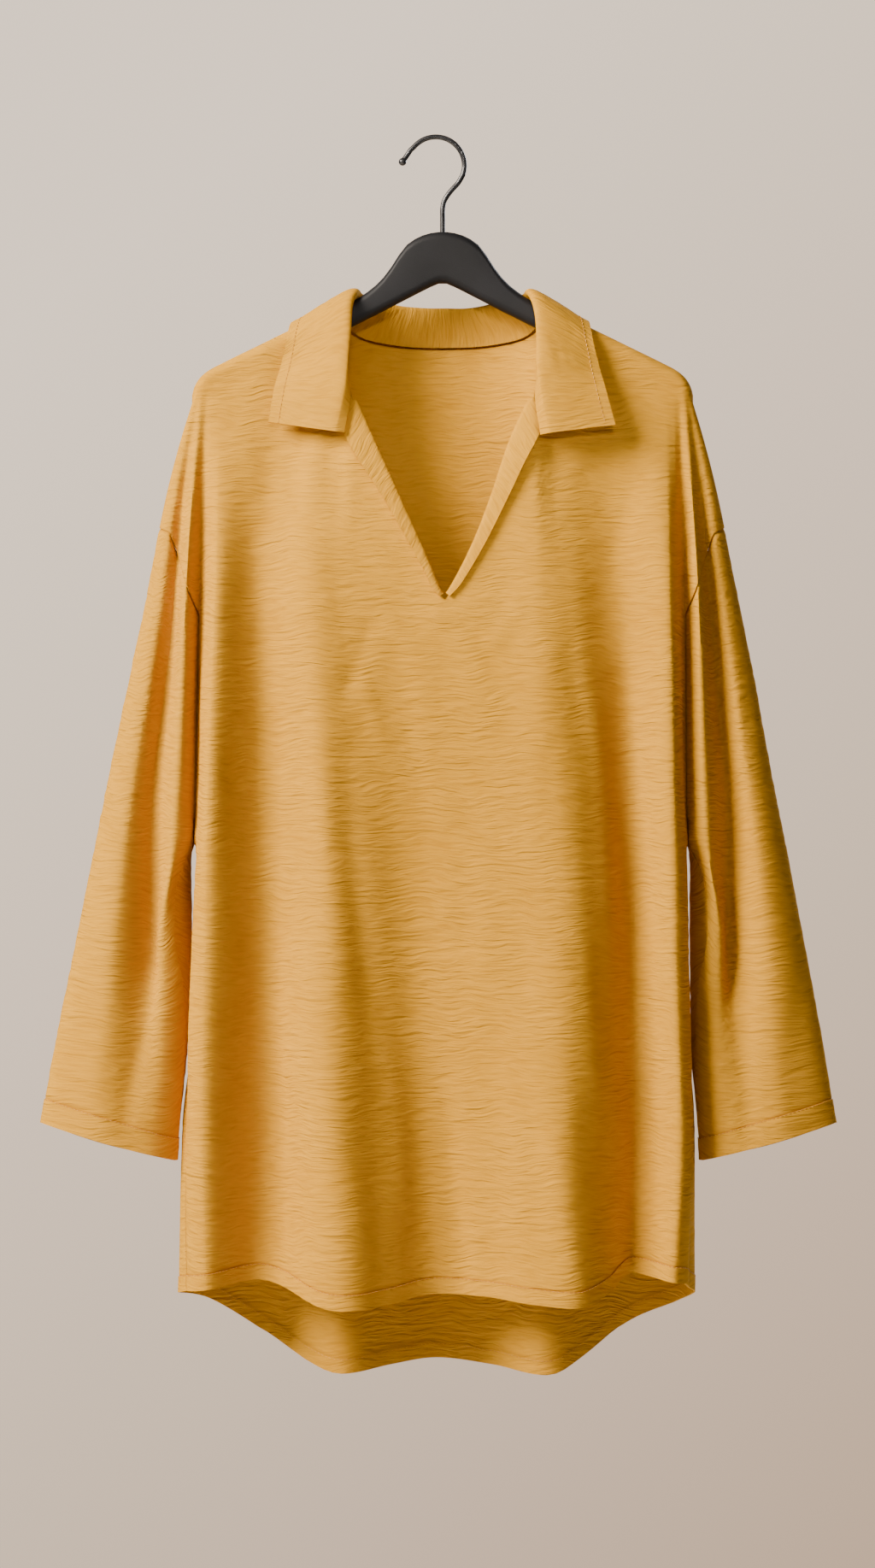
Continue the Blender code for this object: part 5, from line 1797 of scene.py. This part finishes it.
@dataclass
class Hanger:
    """Flat arched hanger with rounded edges and a socket for the hook's stem.

    Args:
        corner_steps: Faces round each rounded edge.
        sections: Sections from tip to tip, closer towards the tips.
        least_flat: The least half of a flat side between two rounded edges.
        socket_sides: Sides of the cylinder that cuts the socket.
        sharp_angle: The angle past which an edge stays sharp, in degrees.
    """

    corner_steps: int = 7
    sections: int = 96
    least_flat: float = 0.3
    socket_sides: int = 28
    sharp_angle: float = 40

    def outline(self, x: float) -> np.ndarray:
        """Work out the hanger's rounded outline.

        Args:
            x: The distance outwards.

        Returns:
            The outline's (y, z).
        """
        half, top, low = (float(monotone([s.x for s in HANGER], [getattr(s, f) for s in HANGER], x))
                          for f in ("half", "top", "bottom"))
        tall, middle = (top - low) / 2, (top + low) / 2
        corner = min(HANGER_CORNER, half - self.least_flat, tall - self.least_flat)
        ring = []
        for sy, sz, start in ((1, 1, 0), (-1, 1, 90), (-1, -1, 180), (1, -1, 270)):
            turn = np.radians(start + 90 * np.arange(self.corner_steps + 1) / self.corner_steps)
            ring.append(np.stack([sy * (half - corner) + corner * np.cos(turn),
                                  middle + sz * (tall - corner) + corner * np.sin(turn)], axis=-1))
        return np.concatenate(ring)

    def build(self) -> bpy.types.Object:
        """Return the hanger."""
        rings = []
        for x in np.sin(np.linspace(-math.pi / 2, math.pi / 2, self.sections)) * HANGER[-1].x:
            ring = self.outline(abs(x))
            rings.append(np.concatenate([np.full((len(ring), 1), x), ring], axis=1))
        count = len(rings[0])
        faces = [(k * count + i, k * count + (i + 1) % count, (k + 1) * count + (i + 1) % count,
                  (k + 1) * count + i) for k in range(len(rings) - 1) for i in range(count)]
        faces += [tuple(range(count))[::-1], tuple((len(rings) - 1) * count + i for i in range(count))]
        piece = new_piece("hanger_body", np.concatenate(rings), faces)
        self.cut_socket(piece)
        shade_smooth(piece, self.sharp_angle)
        return piece

    def dress(self, piece: bpy.types.Object, material: bpy.types.Material) -> None:
        """Give the built hanger its plastic, its body and its node's place."""
        finish_piece(piece, ["hanger"], material)

    def cut_socket(self, piece: bpy.types.Object) -> None:
        """Cut the hole that the hook's stem goes into.

        Args:
            piece: The hanger.
        """
        deselect_all()
        bpy.ops.mesh.primitive_cylinder_add(
            vertices=self.socket_sides, radius=(WIRE_RADIUS + SOCKET_GAP) * MM,
            depth=2 * SOCKET_DEPTH * MM, location=(CENTRE_X * MM, 0.0, HANGER[0].top * MM))
        cutter = bpy.context.object
        cut = piece.modifiers.new("socket", "BOOLEAN")
        cut.operation = "DIFFERENCE"
        cut.object = cutter
        apply_modifiers(piece)
        bpy.data.objects.remove(cutter)


@dataclass
class WireHook:
    """Wire hook: stem, bend, round crook and a ball at its free end.

    Args:
        rounding: The curve's bevel resolution.
        crook: Where the crook starts and ends and its steps, in degrees from its top.
        stem_lift: How far off the socket's floor the stem ends, past the socket's gap.
        bend: The (x, z) from the stem to the crook.
        bend_points: Points along that.
        flare: The (x, z) of the straight end that turns outwards.
        ball_turns: Where the ball starts and ends and its steps, in degrees from its middle.
        sharp_angle: The angle past which an edge stays sharp, in degrees.
    """

    rounding: int = 7
    crook: tuple[int, int, int] = (110, -51, -5)
    stem_lift: float = 0.5
    bend: tuple[tuple[float, float], ...] = (
        (CENTRE_X, -62.0), (CENTRE_X, -58.0), (6.6, -51.5), (9.5, -46.0), (13.6, -40.8), (18.2, -35.8))
    bend_points: int = 37
    flare: tuple[tuple[float, float], ...] = ((-20.6, -8.6), (-23.0, -12.2), (-25.4, -15.7))
    ball_turns: tuple[int, int, int] = (-45, 90, 9)
    sharp_angle: float = 50

    def path(self) -> tuple[list[tuple[float, float]], list[float]]:
        """Work out the wire's middle line and its thickness.

        Returns:
            The line's (x, z) and the radius at each point.
        """
        centre_z = WIRE_RADIUS - HOOK_RADIUS
        arc = [(HOOK_RADIUS * math.sin(a), centre_z + HOOK_RADIUS * math.cos(a))
               for a in map(math.radians, range(*self.crook))]
        stem_end = HANGER[0].top - SOCKET_DEPTH + SOCKET_GAP + self.stem_lift
        knots = with_ends(np.array(list(self.bend) + arc[:1], float))
        smooth = spline(knots[None], np.linspace(0, len(self.bend), self.bend_points))[0]
        path = [(CENTRE_X, stem_end)] + [tuple(p) for p in smooth[:-1]] + arc + list(self.flare)
        radii = [WIRE_RADIUS] * len(path)
        ahead = np.array(self.flare[-1]) - np.array(self.flare[-2])
        ahead /= np.linalg.norm(ahead)
        for turn in map(math.radians, range(*self.ball_turns)):
            place = np.array(self.flare[-1]) + ahead * BALL_RADIUS * (1.0 + math.sin(turn))
            path.append((float(place[0]), float(place[1])))
            radii.append(BALL_RADIUS * math.cos(turn))
        return path, radii

    def build(self) -> bpy.types.Object:
        """Return the hook."""
        path, radii = self.path()
        curve = bpy.data.curves.new("wire_hook", "CURVE")
        curve.dimensions = "3D"
        curve.bevel_depth = MM
        curve.bevel_resolution = self.rounding
        curve.use_fill_caps = True
        line = curve.splines.new("POLY")
        line.points.add(len(path) - 1)
        for point, (x, z), radius in zip(line.points, path, radii):
            point.co = (x * MM, 0.0, z * MM, 1.0)
            point.radius = radius
        piece = bpy.data.objects.new("wire_hook", curve)
        bpy.context.scene.collection.objects.link(piece)
        select_only(piece)
        bpy.ops.object.convert(target="MESH")
        piece = bpy.context.object
        shade_smooth(piece, self.sharp_angle)
        return piece

    def dress(self, piece: bpy.types.Object, material: bpy.types.Material) -> None:
        """Give the built hook its coat, its body and its node's place."""
        finish_piece(piece, ["hook"], material)


@dataclass
class Studio:
    """Pale floor, soft lights and the camera.

    Args:
        distance: Camera to hanger, in metres.
        view_height: Height of the view at the hanger, in metres.
        aim_x: The view's middle, in metres.
        aim_z: The view's middle, in metres.
        wall_fall: How much the backdrop darkens downwards, and wall_slant, to the right.
        wall_level: How dark it is straight ahead, from 0 to 1.
        garment_middle: Where the large lamps point, in metres.
        neck_angle: The neck lamp's cone, in degrees.
        neck_softness: Its own size, in metres.
    """

    distance: float = 3.2
    view_height: float = 1.2845
    aim_x: float = 0.0014
    aim_z: float = -0.528
    sensor_mm: float = 36.0
    floor_place: tuple[float, float, float] = (0.0, -0.4, -1.74)
    floor_size: tuple[float, float] = (5.4, 5.2)
    floor_colour: str = "#DAD5CE"
    wall_colour: str = "#E3D0BC"
    wall_shade: str = "#AB917A"
    wall_strength: float = 1.8
    wall_fall: float = -2.0
    wall_slant: float = 1.6
    wall_level: float = 0.4
    fill_colour: str = "#F1ECE6"
    fill_strength: float = 0.06
    garment_middle: tuple[float, float, float] = (0.0, 0.0, -0.5)
    neck_place: tuple[float, float, float] = (0.1, -3.0, 0.35)
    neck_aim: tuple[float, float, float] = (0.012, 0.0, -0.25)
    neck_watts: float = 420.0
    neck_angle: float = 5.6
    neck_softness: float = 0.16
    neck_colour: str = "#FFF8F0"

    def hang(self, light: bpy.types.Light, place: tuple[float, float, float],
             aim: tuple[float, float, float]) -> None:
        """Hang a lamp.

        Args:
            light: Its light.
            place: Where it hangs, in metres.
            aim: Where it points, in metres.
        """
        lamp = bpy.data.objects.new(light.name, light)
        lamp.location = place
        lamp.rotation_euler = (Vector(aim) - Vector(place)).to_track_quat("-Z", "Y").to_euler()
        bpy.context.scene.collection.objects.link(lamp)

    def build(self) -> None:
        """Add the floor, the backdrop, the lights and the camera."""
        self.lay_floor()
        self.paint_backdrop()
        self.add_lights()
        self.add_camera()

    def lay_floor(self) -> None:
        """Lay the painted floor."""
        deselect_all()
        bpy.ops.mesh.primitive_plane_add(size=1.0, location=self.floor_place)
        floor = bpy.context.object
        floor.name = "studio_floor"
        floor.scale = (*self.floor_size, 1.0)
        paint, tree, shader = new_material("pale_floor_paint")
        fill_inputs(tree, shader, {"Base Color": hex_colour(self.floor_colour), "Roughness": 0.8})
        floor.data.materials.append(paint)

    def paint_backdrop(self) -> None:
        """Shade the backdrop that is seen, and add faint light from all round."""
        world = bpy.data.worlds.new("studio_world")
        world.use_nodes = True
        tree = world.node_tree
        seen = tree.nodes["Background"]
        toward = add_node(tree, "ShaderNodeTexCoord")
        apart = add_node(tree, "ShaderNodeSeparateXYZ", inputs={0: toward.outputs["Generated"]})
        down = add_node(tree, "ShaderNodeMath", {"operation": "MULTIPLY_ADD"},
                        {0: apart.outputs["Z"], 1: self.wall_fall, 2: self.wall_level})
        across = add_node(tree, "ShaderNodeMath", {"operation": "MULTIPLY_ADD"},
                          {0: apart.outputs["X"], 1: self.wall_slant, 2: down.outputs[0]})
        shades = ((0.0, self.wall_colour), (1.0, self.wall_shade))
        wall = add_node(tree, "ShaderNodeValToRGB", {"stops": shades}, {"Fac": across.outputs[0]})
        fill_inputs(tree, seen, {"Color": wall.outputs["Color"], "Strength": self.wall_strength})
        around = add_node(tree, "ShaderNodeBackground", inputs={
            "Color": hex_colour(self.fill_colour), "Strength": self.fill_strength})
        path = add_node(tree, "ShaderNodeLightPath")
        mix = add_node(tree, "ShaderNodeMixShader", inputs={
            0: path.outputs["Is Camera Ray"], 1: around.outputs[0], 2: seen.outputs[0]})
        fill_inputs(tree, tree.nodes["World Output"], {"Surface": mix.outputs[0]})
        bpy.context.scene.world = world

    def add_lights(self) -> None:
        """Hang the large soft lamps, and the spot that reaches into the open neck."""
        for lamp in LAMPS:
            soft = bpy.data.lights.new(lamp.name, "AREA")
            soft.size = lamp.size
            soft.energy = lamp.watts
            soft.color = hex_colour(lamp.colour)[:3]
            self.hang(soft, lamp.place, self.garment_middle)
        spot = bpy.data.lights.new("neck_lamp", "SPOT")
        spot.energy = self.neck_watts
        spot.spot_size = math.radians(self.neck_angle)
        spot.spot_blend = 1.0
        spot.shadow_soft_size = self.neck_softness
        spot.color = hex_colour(self.neck_colour)[:3]
        self.hang(spot, self.neck_place, self.neck_aim)

    def add_camera(self) -> None:
        """Add the camera, level and square to the garment."""
        data = bpy.data.cameras.new("camera")
        data.sensor_width = self.sensor_mm
        data.lens = self.sensor_mm / (self.view_height / self.distance)
        camera = bpy.data.objects.new("camera", data)
        camera.location = (self.aim_x, -self.distance, self.aim_z)
        camera.rotation_euler = (math.radians(90), 0.0, 0.0)
        bpy.context.scene.collection.objects.link(camera)
        bpy.context.scene.camera = camera


def grid_row(piece: ClothPiece, rows_up: int, lift: float) -> tuple[np.ndarray, np.ndarray]:
    """A line over a piece at a row counted from its hem.

    Args:
        piece: The built cloth piece.
        rows_up: How many rows above the hem's edge.
        lift: How far off the cloth's middle, in millimetres.

    Returns:
        The line's points and the cloth's normals there.
    """
    points, above = (piece.surface[piece.grid_used.row(rows_up + k)] for k in (0, 1))
    normal = np.cross(above - points, np.gradient(points, axis=0))
    normal /= np.maximum(np.linalg.norm(normal, axis=1, keepdims=True), 1e-9)
    return points + normal * lift, normal


def build_garment() -> dict[str, tuple[ClothPiece, bpy.types.Object]]:
    """Build the cloth pieces.

    Returns:
        Each piece's builder and object, by the piece's name.
    """
    body = CrinkleCloth().build()
    turned = CrinkleCloth(name="crinkled_gauze_collar", crinkle_mm=2.6, lie=90.0, relief_mm=0.9).build()
    slanted = CrinkleCloth(name="crinkled_gauze_facing", crinkle_mm=2.6, lie=35.0, relief_mm=0.8)
    built: dict[str, tuple[ClothPiece, bpy.types.Object]] = {}

    def make(builder: ClothPiece, cloth: bpy.types.Material) -> None:
        """Build and dress one piece, and keep it.

        Args:
            builder: The piece's builder.
            cloth: Its material.
        """
        piece = builder.build()
        builder.dress(piece, cloth)
        built[builder.name] = (builder, piece)

    front = BodyPanel(face=Face.FRONT, cells=8)
    for panel in (front, BodyPanel(face=Face.BACK, cells=9), Sleeve(side=Side.RIGHT), Sleeve(side=Side.LEFT)):
        make(panel, body)
    make(Collar(), turned)
    surface = BVHTree.FromPolygons([tuple(p) for p in front.surface], front.grid_used.faces())
    facing_cloth = slanted.build()
    for side in Side:
        make(SlitFacing(side=side, panel=surface), facing_cloth)
    return built


def sew(built: dict[str, tuple[ClothPiece, bpy.types.Object]]) -> dict[str, list[bpy.types.Object]]:
    """Add the rows of stitches.

    Args:
        built: The cloth pieces.

    Returns:
        The stitch pieces on each cloth piece.
    """
    thread = SewingThread().build()
    sewn: dict[str, list[bpy.types.Object]] = {}
    for name, rows_up in STITCH_ROWS:
        builder = built[name][0]
        outside = (builder.wall if name == "collar_cloth" else builder.hem_wall) / 2 + STITCH_PROUD
        lines = [grid_row(builder, rows_up, outside), grid_row(builder, rows_up, -outside)]
        lines[1] = (lines[1][0], -lines[1][1])
        run = StitchRun(name.replace("_cloth", "_hem_stitches"), lines)
        piece = run.build()
        run.dress(piece, thread)
        sewn[name] = [piece]
    return sewn


def declare_sheets(built: dict[str, tuple[ClothPiece, bpy.types.Object]]) -> None:
    """Log each cloth piece's measured area, in square metres; the flat sizes, areas and resting pieces listed
    are not read.

    Args:
        built: The cloth pieces.
    """
    cuts = {
        "front_cloth": ((0.60, 0.84), 0.385, ["hanger_body"]),
        "back_cloth": ((0.60, 0.90), 0.41, ["hanger_body"]),
        "right_sleeve_cloth": ((0.26, 0.50), 0.108, ["front_cloth", "back_cloth"]),
        "left_sleeve_cloth": ((0.26, 0.50), 0.108, ["front_cloth", "back_cloth"]),
        "collar_cloth": ((0.50, 0.095), 0.040, ["hanger_body"]),
        "right_lapel_cloth": ((0.165, 0.038), 0.0050, ["front_cloth"]),
        "left_lapel_cloth": ((0.165, 0.038), 0.0050, ["front_cloth"]),
    }
    for name, (flat, area, rests) in cuts.items():
        piece = built[name][1]
        measured = sum(p.area for p in piece.data.polygons) / 2
        log.info("%s: %.4f m2 of cloth", name, measured)


def main() -> None:
    """Build the pieces in order and report each."""
    logging.basicConfig(level=logging.INFO, format="%(name)s: %(message)s")
    for builder, finish in ((Hanger(), MouldedBlack()), (WireHook(), BlackenedWire())):
        builder.dress(builder.build(), finish.build())
    built = build_garment()
    sewn = sew(built)
    declare_sheets(built)
    Studio().build()
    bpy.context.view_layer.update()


if __name__ == "__main__":
    main()
